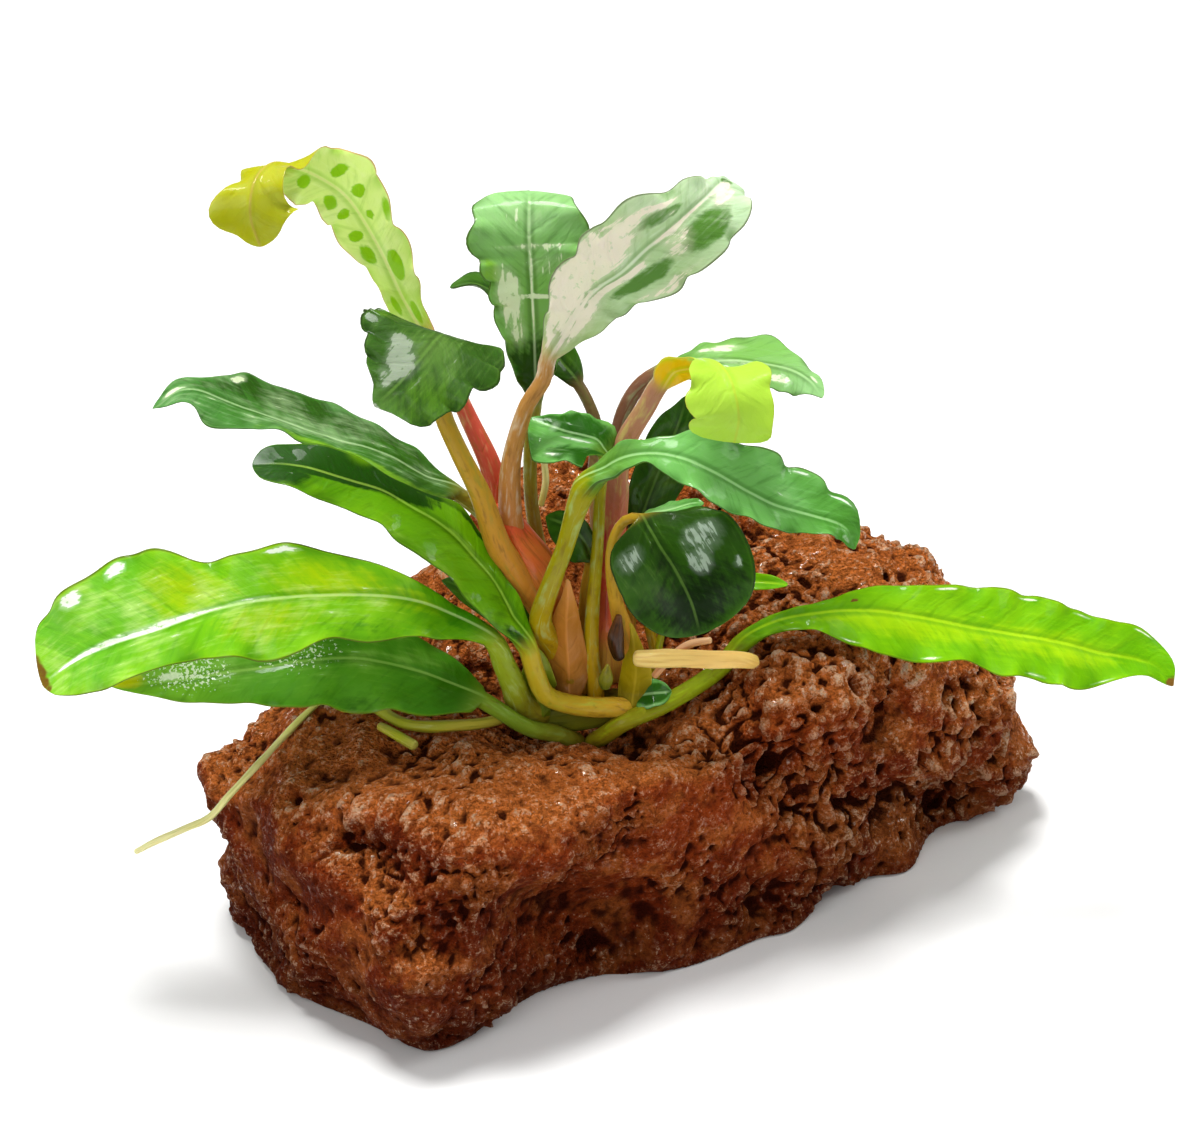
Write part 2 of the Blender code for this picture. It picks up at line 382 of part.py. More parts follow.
def leaf(name, spec):
    """Stalk and blade of one leaf as a single body."""
    line, run, start, stations = leaf_stations(spec)
    end = run[-1]
    turns = [f for f, _ in spec["across"]]
    sides = [Vector(v).normalized() for _, v in spec["across"]]
    waves, height = spec["ripple"]
    rings = []
    for s in stations:
        point = value_at(run, line, s)
        ahead = value_at(run, line, min(s + SIGHT, end)) - value_at(run, line, max(s - SIGHT, 0.0))
        ahead.normalize()
        f = (s - start) / (end - start)
        side = value_at(turns, sides, f)
        side = (side - ahead * side.dot(ahead)).normalized()
        up = side.cross(ahead)
        if f <= 0:
            right = left = thick = spec["stalk"]
        else:
            right = max(smooth_value(WIDTH_AT, spec["right"], f), EDGE_HALF_WIDTH)
            left = max(smooth_value(WIDTH_AT, spec["left"], f), EDGE_HALF_WIDTH)
            thin = BLADE_HALF_THICK * (1 - TIP_THINNING * f)
            thick = thin + (spec["stalk"] - thin) * max(0.0, 1 - f * FOOT_SHARE) ** 2
        ease = min(1.0, max(f, 0.0) * FOOT_SHARE) * min(1.0, max(1 - f, 0.0) * FOOT_SHARE + TIP_RIPPLE)
        ring = []
        for t, face in zip(RING_T, RING_UP):
            width = right if t > 0 else left
            phase = 0.0 if t > 0 else MARGIN_SHIFT
            lift = spec["cup"] * abs(t) * width * ease
            lift += height * t * t * ease * math.sin(2 * math.pi * waves * f + phase)
            lift += face * thick * math.sqrt(1 - t * t)
            ring.append(point + side * (t * width) + up * lift)
        rings.append(ring)
    return loft(name, rings, spec["slot"])


def stem(name, spec):
    """A round stem or root: a curve through its centre line, as thick as its radii say."""
    line, _ = smooth_line(spec["path"], STEM_STEPS)
    curve = bpy.data.curves.new(name, "CURVE")
    curve.dimensions = "3D"
    curve.bevel_depth = MM
    curve.bevel_resolution = STEM_SIDES
    curve.use_fill_caps = True
    spline = curve.splines.new("POLY")
    spline.points.add(len(line) - 1)
    for k, point in enumerate(line):
        spline.points[k].co = (*point * MM, 1.0)
        spline.points[k].radius = value_at(range(len(spec["radius"])), spec["radius"], k / STEM_STEPS)
    curve.materials.append(MATERIAL_DATA[spec["slot"]])
    COLLECTION.objects.link(bpy.data.objects.new(name, curve))


def stone_reach(direction):
    """Distance from the stone's heart to its rounded flat-sided surface."""
    total = 0.0
    for normal, distance in STONE_SIDES.values():
        lean = direction.dot(Vector(normal).normalized())
        if lean > 0:
            total += (lean / distance) ** STONE_ROUNDING
    return total ** (-1 / STONE_ROUNDING)


def stone_lump(point):
    """How far the stone swells out or sinks in at a point."""
    return sum(height * noise.noise(point / size) for size, height in STONE_LUMPS)


def stone():
    """The lava block: a divided cube blown out to its sides, then its swellings, hollows and lumps.
    The flat underside is left as one face."""
    bm = bmesh.new()
    bmesh.ops.create_cube(bm, size=2.0)
    for axis, cuts in enumerate(STONE_CUTS):
        whole = [e for e in bm.edges if abs((e.verts[0].co - e.verts[1].co)[axis]) > 1.0]
        bmesh.ops.subdivide_edges(bm, edges=whole, cuts=cuts, use_grid_fill=True)
    heart = Vector(STONE_HEART)
    for vert in bm.verts:
        spread = Vector(math.tan(c * math.pi / 4) for c in vert.co)
        direction = spread.normalized()
        point = heart + direction * stone_reach(direction)
        for centre, reach, move in STONE_FORMS.values():
            away = Vector((p - c) / r for p, c, r in zip(point, centre, reach))
            point = point + Vector(move) * math.exp(-away.length_squared)
        vert.co = point
    bm.normal_update()
    for vert in bm.verts:
        off_floor = min(max(vert.co.z / STONE_FLOOR_FADE, 0.0), 1.0)
        point = vert.co + vert.normal * (stone_lump(vert.co) * off_floor)
        point.z = max(point.z, 0.0)
        vert.co = point * MM
    underside = [f for f in bm.faces if all(v.co.z == 0.0 for v in f.verts)]
    bmesh.ops.dissolve_faces(bm, faces=underside, use_verts=False)
    return finish("lava_stone", bm, "lava_stone")


clear_scene()
COLLECTION = bpy.data.collections.new("bucephalandra_on_stone")
bpy.context.scene.collection.children.link(COLLECTION)
MATERIAL_DATA = {name: make_material(name) for name in MATERIALS}
stone()
for stem_name, stem_spec in STEMS.items():
    stem(stem_name, stem_spec)
for leaf_name, leaf_spec in LEAVES.items():
    leaf(leaf_name, leaf_spec)
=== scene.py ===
"""A small Bucephalandra plant on a block of wet lava stone, laid out as a Blender add-on.

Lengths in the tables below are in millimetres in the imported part's own frame: the stone stands on
Z = 0, the origin is the middle of its underside, +X runs to the right-hand lobe of the stone and +Y
to its back ridge.
"""
import math

import bpy
import numpy as np
from bpy.props import FloatProperty, FloatVectorProperty, PointerProperty
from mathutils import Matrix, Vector, noise


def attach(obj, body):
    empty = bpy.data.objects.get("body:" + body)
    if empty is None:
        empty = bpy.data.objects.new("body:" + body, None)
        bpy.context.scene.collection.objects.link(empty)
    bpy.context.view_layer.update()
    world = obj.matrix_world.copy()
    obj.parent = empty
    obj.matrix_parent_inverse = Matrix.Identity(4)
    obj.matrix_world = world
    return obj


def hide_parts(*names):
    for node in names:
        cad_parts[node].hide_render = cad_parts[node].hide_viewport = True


bl_info = {
    "name": "Bucephalandra on stone",
    "version": (1, 0, 0),
    "blender": (4, 5, 0),
    "location": "View3D > Sidebar > Plant",
    "description": "Builds a small Bucephalandra plant grown onto a block of lava stone",
    "category": "Add Mesh",
}

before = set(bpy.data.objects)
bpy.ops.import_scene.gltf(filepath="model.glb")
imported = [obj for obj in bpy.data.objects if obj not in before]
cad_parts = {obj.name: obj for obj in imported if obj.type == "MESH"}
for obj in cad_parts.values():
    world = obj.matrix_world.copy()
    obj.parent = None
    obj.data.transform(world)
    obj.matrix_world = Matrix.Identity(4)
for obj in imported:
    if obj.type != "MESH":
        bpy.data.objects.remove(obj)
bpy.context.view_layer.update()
MM = 0.001
BODY = "root"
PER_SPAN = 12  # sections of a smooth line between two of its points
LOBES = 0.03  # how far the small lobes of a margin stand out, as a share of the half width
LOBE_PACE, LOBE_START = 1.25, 0.6  # lobes per wave of the margin, and where the first one starts
VEIN_SPACING, VEIN_SLANT = 3.2, 0.9  # side veins: distance apart, and run along per run across
OPENING = 0.12  # share of a blade over which its stalk opens into it
TIP_SHARE = 0.03  # share of a blade that is rounded off at its tip
FOOT_LENGTH = 0.5  # length over which the foot of a stalk is rounded off
SHEATH_SEED = 40  # sheaths take their unevenness from seeds above those of the leaves
CAMERA_PLACE = (0.0, -0.3464, 0.244)  # in metres
CAMERA_TILT = 60.0  # degrees up from looking straight down
LAMP_AIM = (0.0, 0.0, 0.04)  # in metres

# The stone: a block of flat sides round its heart (direction and distance), with rounded edges.
STONE_HEART = (2, 6, 14)
STONE_ROUNDING = 7
STONE_CUTS = 79  # cuts across each face of the first cube
STONE_SEED = 5  # for the bends in the stone's pores and crumbs
HOLE_DEPTH = 3
STONE_SIDES = {
    "left_end": ((-1, 0, .02), 45),
    "front_left": ((-.69, -.72, -.05), 36.2),
    "front_right": ((.56, -.83, -.1), 16.5),
    "right_end": ((.96, -.1, .15), 46.3),
    "right_under": ((.66, -.45, -.6), 33),
    "right_slope": ((.7, .25, .68), 38.4),
    "back": ((.1, .99, 0), 28),
    "back_left": ((-.66, .75, 0), 29.5),
    "top": ((0, -.1, .99), 13.6),
    "underside": ((0, 0, -1), 17),
}
# Swellings and hollows of the block: middle, reach, and how far the middle moves.
STONE_FORMS = {
    "back_ridge": ((2, 28, 30), (17, 13, 30), (0, 0, 13)),
    "ridge_right": ((30, 22, 28), (12, 10, 20), (0, 0, 4)),
    "left_shoulder": ((-40, 3, 19), (9, 10, 7), (-3.5, 0, 0)),
    "crown_hollow": ((-1, 2, 25), (15, 8, 14), (0, 0, -6.6)),
    "left_fall": ((-38, 4, 26), (11, 16, 9), (.5, 0, -4.6)),
    "right_rise": ((22, 4, 26), (9, 8, 12), (0, 0, 2)),
    "nose": ((-18, -20, 8), (11, 12, 16), (0, -5, 0)),
    "nose_foot": ((-7.5, -25, 0), (8.5, 9, 8), (0, 3.9, 0)),
    "nose_left": ((-23, -23, 0), (7, 8, 6), (.8, 1.9, 0)),
    "left_foot": ((-30, -9, 4), (11, 10, 9), (-2.6, -1.8, 0)),
    "front_notch": ((-2, -15, 6), (10, 9, 14), (0, 5.2, 0)),
    "front_foot": ((13, -9, 0), (14, 9, 9), (.6, -2.2, 0)),
    "lobe_lift": ((38, 8, 4), (8, 9, 7), (0, 4, .6)),
    "nose_hollow": ((-22.5, -21, 21.4), (8.5, 6, 3), (2, 5, -1.4)),
    "nose_valley": ((-16.3, -26.5, 17), (3.6, 6.5, 8), (.6, 2.8, .3)),
    "front_undercut": ((-5, -18, 11.5), (10, 8, 5.5), (-1.2, 3.6, 0)),
    "front_ledge": ((-5.5, -18.5, 19.4), (9, 6, 3), (.8, -1.6, .5)),
    "lobe_cleft": ((29.6, 3.6, 24), (2.4, 6, 5.5), (-.6, 4.4, -1.5)),
    "lobe_undercut": ((36.6, 9.6, 8.6), (5.5, 6.5, 3), (-2.6, 3.2, 1)),
    "right_hollow": ((34, 27, 14), (6, 6, 5), (-2, -3, 0)),
    "back_hollow": ((-6, 34, 18), (7, 6, 5), (0, -3.4, 0)),
    "back_left_hollow": ((-30, 22, 14), (5, 6, 6), (2.4, -2.4, 0)),
    "ridge_fall": ((31, 22, 28), (6, 9, 8), (0, 0, -1.3)),
    "foot_knob": ((20.5, -1, 0), (4, 6, 4), (.3, -2.4, 0)),
    "foot_gap": ((25.2, 4, 1), (3.4, 6, 4), (-.4, 2.4, 0)),
    "right_knob": ((33.4, 10.5, 1), (3.4, 6, 5), (1.2, -3.6, 0)),
    "right_gap": ((38.2, 13, 3), (4, 6, 4), (-1, 3.4, 1)),
    "left_cave": ((-34.7, -6.4, 4.8), (3, 5, 2.4), (2.6, 1.6, 0)),
    "left_chip": ((-31, -13, 12), (3, 5, 3), (1.4, 1.4, 0)),
    "seam_top": ((15.4, -3, 24.6), (2.6, 3.2, 2.6), (-.5, 1.8, -1.3)),
    "seam_upper": ((18.3, -4.2, 21.6), (2.8, 3.6, 3), (-.8, 1.9, -.6)),
    "seam_middle": ((21.5, -1.6, 16.4), (3, 3.6, 3.2), (-.9, 2, 0)),
    "seam_foot": ((17.8, -2.4, 4.6), (2, 3.4, 4.4), (-.4, 1.2, 0)),
    "lobe_dent": ((27, 1.6, 12), (2.4, 4, 2.4), (-1.2, 2.2, 0)),
}
# Lumps all over the stone: their size and their height.
STONE_LUMPS = ((11, 2), (5.6, 1.1), (3.4, .6))
# Single deep holes: mouth and radius.
STONE_HOLES = (
    ((40.4, 13.6, 14.2), 1.5), ((43.4, 18.2, 12.4), 1.3), ((42.6, 16.4, 9), 1.6), ((33.4, 7.6, 15.6), 1.2),
    ((37, 11.4, 20), 1.3), ((26, 3, 27), 1.2), ((36, 24, 22), 1.6), ((12, 33, 24), 1.7),
    ((-16, 31, 14), 1.6), ((-41, 8, 16), 1.2), ((24, 30, 12), 1.5), ((-27, -16.5, 9), 1.2),
)

# Stems and roots: material slot, finish, radius at the points of the centre line, centre line.
STEMS = {
    "rhizome": dict(
        slot="stem", finish="olive", radius=(1.2, 1.9, 2, 1.1),
        path=((-9.5, 0, 25.6), (-5.5, 1.2, 25.1), (-1, 2.4, 25), (4, 4, 25.2))),
    "left_shoot": dict(
        slot="stem", finish="orange", radius=(1.9, 1.9, 1.95, 2, 2.1, 1.9, .9),
        path=((-3, 1.6, 27.6), (-3, 1.6, 30), (-3.5, 2, 33), (-4.5, 2.2, 37.5), (-6.5, 2.4, 42),
              (-8.8, 2.6, 45.6), (-10, 2.8, 49))),
    "right_shoot": dict(
        slot="stem", finish="red", radius=(1.9, 1.7, 1.3, 1.3, 1.1),
        path=((.8, 4.2, 27.6), (.6, 4.2, 32.5), (.7, 4.2, 38), (1, 4.4, 44), (1.3, 4.5, 47.5))),
    "new_bud": dict(
        slot="stem", finish="olive", radius=(.5, .7, .15),
        path=((.5, -.7, 29.4), (.6, -.8, 30.8), (.8, -.8, 32.4))),
    "old_sheath": dict(
        slot="old_sheath", finish="sheath", radius=(.55, .85, .3),
        path=((2, -1.9, 33.6), (1.6, -2, 35.9), (1.9, -1.9, 38.9))),
    "right_root": dict(
        slot="root", finish="cream_root", radius=(.8, .95, .95, .9, .85, .7),
        path=((3.3, -2, 33.8), (5.5, -2.2, 33.9), (8, -2.2, 33.9), (11.5, -2, 33.7), (14.2, -1.2, 33.2),
              (15.8, .6, 31.8))),
    "pink_root": dict(
        slot="root", finish="pink_root", radius=(.35, .4, .4, .4),
        path=((11.3, -1, 35.4), (9, -.9, 34.8), (7.2, -.9, 33.3), (5.4, -1, 31))),
    "left_root": dict(
        slot="root", finish="green_root", radius=(.5, .6, .6, .55, .45),
        path=((-9.8, -3, 27.2), (-13.5, -4.4, 27.4), (-19.5, -4.4, 27.5), (-24, 1, 26.8),
              (-28.5, 5, 26.4))),
    "left_root_branch": dict(
        slot="root", finish="green_root", radius=(.4, .55, .55),
        path=((-22.4, -3.6, 26.8), (-20.8, -5.4, 27), (-18.5, -7.8, 27))),
    "hanging_root": dict(
        slot="root", finish="pale_root", radius=(.3, .35, .35, .35, .4, .35, .35, .3),
        path=((-28, 3.6, 26), (-30.5, .5, 25.2), (-34.8, -6.2, 23.6), (-37.3, -8, 21.5), (-39.5, -8.5, 19),
              (-42, -8.8, 17.8), (-45, -9, 16.4), (-47.3, -9, 15))),
    "back_root": dict(
        slot="root", finish="pale_root", radius=(.3, .35, .35, .3),
        path=((-6, 6.8, 46.5), (-5.5, 7, 49), (-5.6, 7.4, 51), (-6, 7.4, 53))),
}

# Places along a blade at which its half widths are listed, for a plain and for a lobed outline.
WIDTH_AT = (0, .12, .3, .5, .7, .88, 1)
EDGE_AT = (0, .06, .12, .2, .28, .36, .44, .52, .6, .68, .76, .84, .91, .96, 1)
# Places across a blade at which its section is drawn, closer at the margins and the midrib.
ACROSS = (1, .985, .95, .89, .82, .74, .65, .56, .47, .38, .29, .2, .12, .06,
          0, -.06, -.12, -.2, -.29, -.38, -.47, -.56, -.65, -.74, -.82, -.89, -.95, -.985, -1)
# Kinds of marks on a blade: the first three are painted reflection, painted sheen and painted glints; warm
# and brown are the blade's own yellow and scorched patches; dark is painted shade, and on the curled tip
# leaf its darker spots.
MARK_KINDS = ("pale", "gloss_and_painted_sheen", "spark", "warm", "dark", "brown")
LEAVES, SHEATHS = {}, {}


def leaf(name, slot, finish, table=LEAVES, **shape):
    """Enter one leaf into its table."""
    table[name] = dict(slot=slot, finish=finish, lobes=LOBES, marks={}) | shape


# Leaves. path: stalk and midrib, from deep in the shoot, the creeping stem or the stone to the tip;
# blade: point of the path where the blade begins; stalk: radii along the stalk; cup: how far the
# margins rise towards the upper face; ripple: waves along the margins, their height, and the second
# margin's shift; lobes: as LOBES; right and left: half widths, looking at the upper face with the tip
# up; across: direction of the right-hand margin at shares of the blade; marks: for each kind, share
# along the blade, place across it from -1 (left margin) to 1 (right margin), reach along, reach
# across, strength.
leaf("long_left_leaf", "leaf_bright", "bright", blade=5,
     path=((-5.6, .6, 25.4), (-7.2, -.4, 26.6), (-8.2, -1.2, 28), (-8.7, -2.8, 31), (-9.6, -3.6, 34),
           (-11, -4, 37.5), (-16, -5, 41.5), (-21.5, -6, 43.5), (-29.5, -7, 44), (-36.5, -8, 43.5),
           (-44.5, -8, 40.5), (-51, -8, 38), (-55.5, -8, 34.5)),
     stalk=(1.3, 1.4, 1.3, 1.15, 1), cup=.08, ripple=(5, .6, .3),
     right=(1, .9, 1.2, 2, 3.3, 4.2, 5.6, 4.8, 5.2, 7.6, 8.4, 6.8, 6.2, 5.4, 2.8),
     left=(1, 1.9, 3.1, 3.9, 4.6, 4.4, 5.6, 6, 4.9, 4.2, 3.8, 4.4, 3.9, 2.8, 1.4),
     across=((0, (.1, .6, .8)), (1, (.2, .6, .8))), marks=dict(
         warm=((.36, .35, .12, .5, .7), (.5, -.35, .12, .4, .6), (.64, .4, .1, .45, .7),
               (.2, .1, .1, .5, .5)),
         dark=((.04, .2, .12, .9, .6), (.3, -.7, .12, .3, .4)),
         pale=((.78, .86, .025, .08, 1.1), (.87, .82, .02, .1, 1.1), (.45, .88, .035, .06, 1),
               (.72, .02, .16, .05, 1.05), (.9, -.02, .08, .05, 1), (.52, .03, .06, .04, .7)),
         gloss_and_painted_sheen=((.7, 0, .4, .9, .6), (.9, .3, .2, .9, .5)),
         brown=((1, .1, .02, 1.2, 1),)))
leaf("lower_left_leaf", "leaf_bright", "bright_shaded", blade=4,
     path=((-2.2, 1.4, 21.6), (-3.4, -.9, 23.5), (-5, -2.4, 25.2), (-7.6, -4, 27), (-12, -4, 30.2),
           (-17, -3.6, 32.8), (-22, -3.4, 34.2), (-28, -4, 34.9), (-35, -5, 34.4), (-42, -6, 33.6),
           (-49, -6, 33)),
     stalk=(1, 1, .9, .85, .9), cup=.1, ripple=(4, .4, .35),
     right=(1.2, 2.8, 3.7, 3.8, 3.2, 2, .2),
     left=(1.6, 4.2, 5.6, 5, 3.4, 1.6, .2),
     across=((0, (.1, .8, .6)), (1, (.2, .8, .6))), marks=dict(
         dark=((.04, 0, .1, 1.2, .7), (.3, -.9, .3, .4, .4)),
         spark=((.8, .2, .12, .8, 1.1), (.5, .3, .12, .6, .9)),
         gloss_and_painted_sheen=((.75, .2, .2, .7, .9), (.35, .2, .3, .5, .5)),
         warm=((.97, .2, .06, .8, 1),),
         pale=((.84, .2, .03, .2, .9),)))
leaf("upper_left_leaf", "leaf_dark", "deep_silver", blade=4,
     path=((-4.4, 5.6, 25.6), (-5.2, 6.8, 29.4), (-8, 7.6, 37.8), (-11, 7.8, 43.8), (-14.5, 7.4, 47.7),
           (-18, 6.8, 50.2), (-22, 6.4, 52.7), (-27, 6.2, 54.8), (-32, 6, 56.9), (-36.5, 5, 59.2),
           (-41, 3.6, 61.2), (-44, 1.6, 60.4)),
     stalk=(.9, .85, .8, .8), cup=.12, ripple=(3, .3, .35),
     right=(.8, 1.5, 2.4, 3.1, 3.6, 3.9, 4.6, 4.8, 4.7, 5, 3.2, 2, 1.8, 1.2, .3),
     left=(1.2, 2.8, 3.6, 3.9, 3.8, 3, 2.7, 2.7, 2.8, 3.6, 4.8, 5, 4, 2.6, .5),
     across=((0, (.1, 1, .1)),), marks=dict(
         pale=((.72, .8, .03, .12, 1), (.93, .2, .03, .25, .8)),
         gloss_and_painted_sheen=((.5, .1, .5, .8, .8), (.85, -.3, .2, .6, .6)),
         dark=((.5, .6, .5, .5, .6),),
         warm=((.35, -.85, .3, .25, .8),)))
# Its upper half lies in painted shade of the leaf above it; its tip is darker.
leaf("middle_left_leaf", "leaf_bright", "half_in_painted_shade", blade=6,
     path=((3, .4, 26.4), (1.4, -1.3, 27.6), (-.4, -2, 28), (-3, -2.4, 28.6), (-5.5, -2.8, 30),
           (-6.6, -3, 33), (-7.2, -3, 35.5), (-8.4, -2.6, 38.5), (-11, -2, 43.5), (-15, -1, 48),
           (-20, 0, 51), (-25.5, 0, 53.5), (-30.5, 0, 55), (-34.3, 0, 55)),
     stalk=(1, 1.05, 1.05, 1, 1, 1, 1), cup=.12, ripple=(3, .35, .35),
     right=(1, 1.3, 1.6, 1.8, 2.2, 2.6, 2.9, 2.3, 2.1, 2.4, 2.8, 2.9, 2.7, 2.2, 1.3),
     left=(1, 1.9, 3, 4.3, 5.1, 5.1, 4.8, 4.6, 4.3, 3.8, 3.4, 3.5, 3, 2.2, 1.2),
     across=((0, (.3, .8, .4)), (1, (.1, .9, .4))), marks=dict(
         dark=((.86, .5, .3, .6, 2), (.96, -.2, .12, 1, .9), (.5, .95, .3, .2, .8),
               (.06, -.7, .06, .3, .6)),
         gloss_and_painted_sheen=((.4, -.9, .2, .15, .6), (.25, .1, .2, .1, .8))))
leaf("curled_tip_leaf", "leaf_yellow", "pale_spotted", blade=6,
     path=((-6.2, 3.2, 37), (-8.4, 4, 42.6), (-10, 4.9, 47.4), (-11, 5.4, 52), (-13, 6.4, 56.5),
           (-15, 7, 61.1), (-17, 7.4, 65.3), (-19, 7.4, 68.8), (-20.5, 6.8, 72.9), (-22.5, 6, 77.9),
           (-24.5, 4.8, 81.8), (-27.5, 3, 85), (-30, 1, 86.8), (-31.5, -1.4, 87.4), (-32.6, -3.6, 86.4),
           (-32.8, -4.8, 84), (-32, -4.8, 81)),
     stalk=(1, 1.5, 1.25, 1, .85, .8), cup=.1, ripple=(6, .55, .4), lobes=.06,
     right=(.9, 1.3, 1.8, 2.4, 2.8, 2.7, 3.4, 4.4, 3.2, 3, 2.6, 2.9, 4.8, 2.6, 1.4),
     left=(.9, 1.8, 1.8, 1.9, 2.4, 3.1, 3.2, 2.8, 3.2, 3, 3, 2.3, 3.7, 1.9, 1),
     across=((0, (1, 0, .3)), (.45, (.6, 0, .7)), (.62, (.1, -.1, 1)), (.74, (.7, -.5, .3)), (.86,
     (1, 0, 0)), (1, (1, 0, 0))), marks=dict(
         dark=((.08, .35, .03, .2, 1.3), (.12, -.5, .03, .16, 1), (.235, .32, .04, .22, 1.4),
               (.29, -.5, .035, .22, 1), (.36, -.45, .016, .2, 1.4), (.4, .3, .012, .1, 1.2),
               (.44, -.4, .014, .18, 1.4), (.475, .35, .016, .16, 1.4), (.5, -.5, .02, .2, 1.2),
               (.55, .4, .016, .2, 1.2), (.62, -.3, .02, .2, 1.2), (.4, .85, .03, .12, .9)),
         warm=((.8, 0, .12, 1.3, 1.3),)))
leaf("hooded_leaf", "leaf_dark", "dark_grey", blade=8,
     path=((-4.6, 2.2, 33), (-6.4, 1.8, 38.4), (-8.6, .8, 42.6), (-10.2, 0, 46), (-11.8, 0, 51.5),
           (-14, .4, 56.5), (-15.5, 1, 60.4), (-15.8, 1.6, 64.2), (-15.2, 1.5, 67.2), (-14.9, .3, 69.3),
           (-15.4, -1.9, 70.3), (-16.8, -4.6, 69.7), (-19, -7.2, 68), (-21.5, -9, 66.2)),
     stalk=(1, 1.4, 1.35, 1.15, .95, .9, .85), cup=-.1, ripple=(5, .5, .4), lobes=.045,
     right=(.9, 3.4, 5.4, 6.8, 7.2, 7.6, 7.2, 7, 6.4, 5.2, 4.6, 3.4, 1.7, .9, .3),
     left=(.9, 3, 4.8, 6.4, 6.6, 7.2, 7, 6.2, 5.8, 6.2, 5, 5.1, 3.4, 1.5, .3),
     across=((0, (-.97, .2, .12)), (.4, (-.88, .3, .35)), (1, (-.8, .3, .45))), marks=dict(
         pale=((.56, .34, .08, .2, .9), (.68, .24, .12, .3, 1.1), (.82, .36, .07, .26, .8),
               (.5, .1, .1, .03, .6), (1, 0, .02, 1, 1)),
         warm=((.75, -.6, .2, .5, .5), (.36, .85, .1, .15, .8)),
         gloss_and_painted_sheen=((.4, -.2, .4, .7, .8),),
         dark=((.2, .2, .1, .4, .5),)))
leaf("centre_leaf", "leaf_dark", "silver_green", blade=5,
     path=((-3.4, 7.6, 28.5), (-4.4, 8.6, 33.4), (-6, 8.9, 39.6), (-7, 9, 46), (-7, 10, 52.5),
           (-6.5, 10.6, 56.5), (-6.5, 10.8, 60), (-6.6, 11, 64.5), (-6.8, 11.2, 70), (-7, 12, 74),
           (-7, 13.6, 76.6), (-7, 16, 77.2)),
     stalk=(.8, .75, .7, .7), cup=.08, ripple=(6, .5, .3), lobes=.055,
     right=(.7, 1, 1.8, 2.5, 3.1, 3.8, 4.3, 4.7, 5.2, 5.6, 5.8, 5.4, 4.6, 3.8, 2.2),
     left=(.7, 1.4, 2, 2.5, 3, 3.5, 4, 4.2, 4.6, 5.4, 6, 5.6, 5.2, 4, 1.8),
     across=((0, (1, 0, 0)),), marks=dict(
         pale=((.5, -.55, .14, .3, 1), (.34, -.5, .08, .3, .7), (.52, 0, .3, .03, .9),
               (.5, .15, .012, .5, 1.3), (.72, .1, .012, .7, .8), (.86, 0, .1, .9, .35),
               (.64, .3, .06, .5, .45), (.38, .6, .08, .14, 1)),
         dark=((.1, 0, .2, 1.2, .8),),
         warm=((.62, -.8, .06, .2, .7),)))
# Its pale silvery tone is partly its own and partly painted reflection.
leaf("tall_right_leaf", "leaf_dark", "silver_and_painted_reflection", blade=7,
     path=((-5.2, 2.8, 37.5), (-7.4, 2.5, 43), (-8.8, 2.4, 46.6), (-9, 2.4, 49.4), (-8.8, 2.6, 54),
           (-7.4, 3, 59.5), (-5.6, 3.6, 62.5), (-5, 4, 65), (-3, 4, 68), (-1, 4, 71.5), (2, 4, 74),
           (4.5, 4.2, 76.5), (7.5, 5, 78.8), (10, 6.8, 80.4), (11.8, 9.4, 81), (12.8, 12.4, 80)),
     stalk=(.8, 1.2, 1.25, 1.1, .9, .8, .85), cup=.06, ripple=(5, .45, .35), lobes=.07,
     right=(.85, 1.5, 2.2, 3.2, 3.7, 3.8, 4.6, 5.3, 5.2, 4.8, 5, 4, 2.8, 1.8, .7),
     left=(.85, 1.8, 2.8, 3.4, 4.4, 5.2, 5.3, 5.3, 4.8, 3.4, 2.8, 1.6, 1, .6, .2),
     across=((0, (.7, 0, -.7)), (.7, (.7, 0, -.6)), (1, (.9, -.2, -.3))), marks=dict(
         pale=((.3, -.55, .26, .42, 1.25), (.16, .1, .14, .5, .9), (.34, .16, .16, .07, 1.3),
               (.5, .85, .14, .12, .8), (.62, .3, .06, .3, .7), (.86, .2, .06, .3, .9),
               (.66, 0, .14, .06, 1.1), (.6, -.62, .14, .06, 1.2)),
         gloss_and_painted_sheen=((.7, 0, .3, 1, .4),),
         dark=((.44, .45, .12, .18, .9), (.72, .45, .1, .3, .9), (.62, -.4, .08, .14, .9),
               (.93, -.1, .04, .4, .8))))
leaf("back_right_leaf", "leaf_dark", "silver_brown", blade=6,
     path=((.8, 5.4, 34), (1.2, 6.4, 40), (1.6, 7.8, 45), (1.8, 10, 49), (2, 12, 53), (3.5, 12.6, 56.5),
           (5.8, 12.6, 58.6), (9, 12.6, 59.6), (12.5, 12.4, 60), (16, 12, 60.2), (19, 11, 59.9),
           (21, 9.6, 59.2), (22.2, 8, 58.2)),
     stalk=(1, 1, .9, .8, .8), cup=-.22, ripple=(3, .4, .35),
     right=(.8, .9, 1.2, 1.6, 2, 2.4, 2.8, 3.1, 3.2, 3.2, 3, 2.4, 1.9, 1, .3),
     left=(.8, 1.4, 2, 2.6, 3.2, 4.4, 5.4, 5.7, 5.2, 3.6, 2.8, 1.8, 1.3, .8, .3),
     across=((0, (-.1, -.95, -.25)),), marks=dict(
         pale=((.35, -.5, .12, .2, .8), (.7, .5, .1, .2, .9), (.88, -.4, .03, .15, .9),
               (.45, .1, .12, .12, .7)),
         gloss_and_painted_sheen=((.6, 0, .45, .9, .35),)))
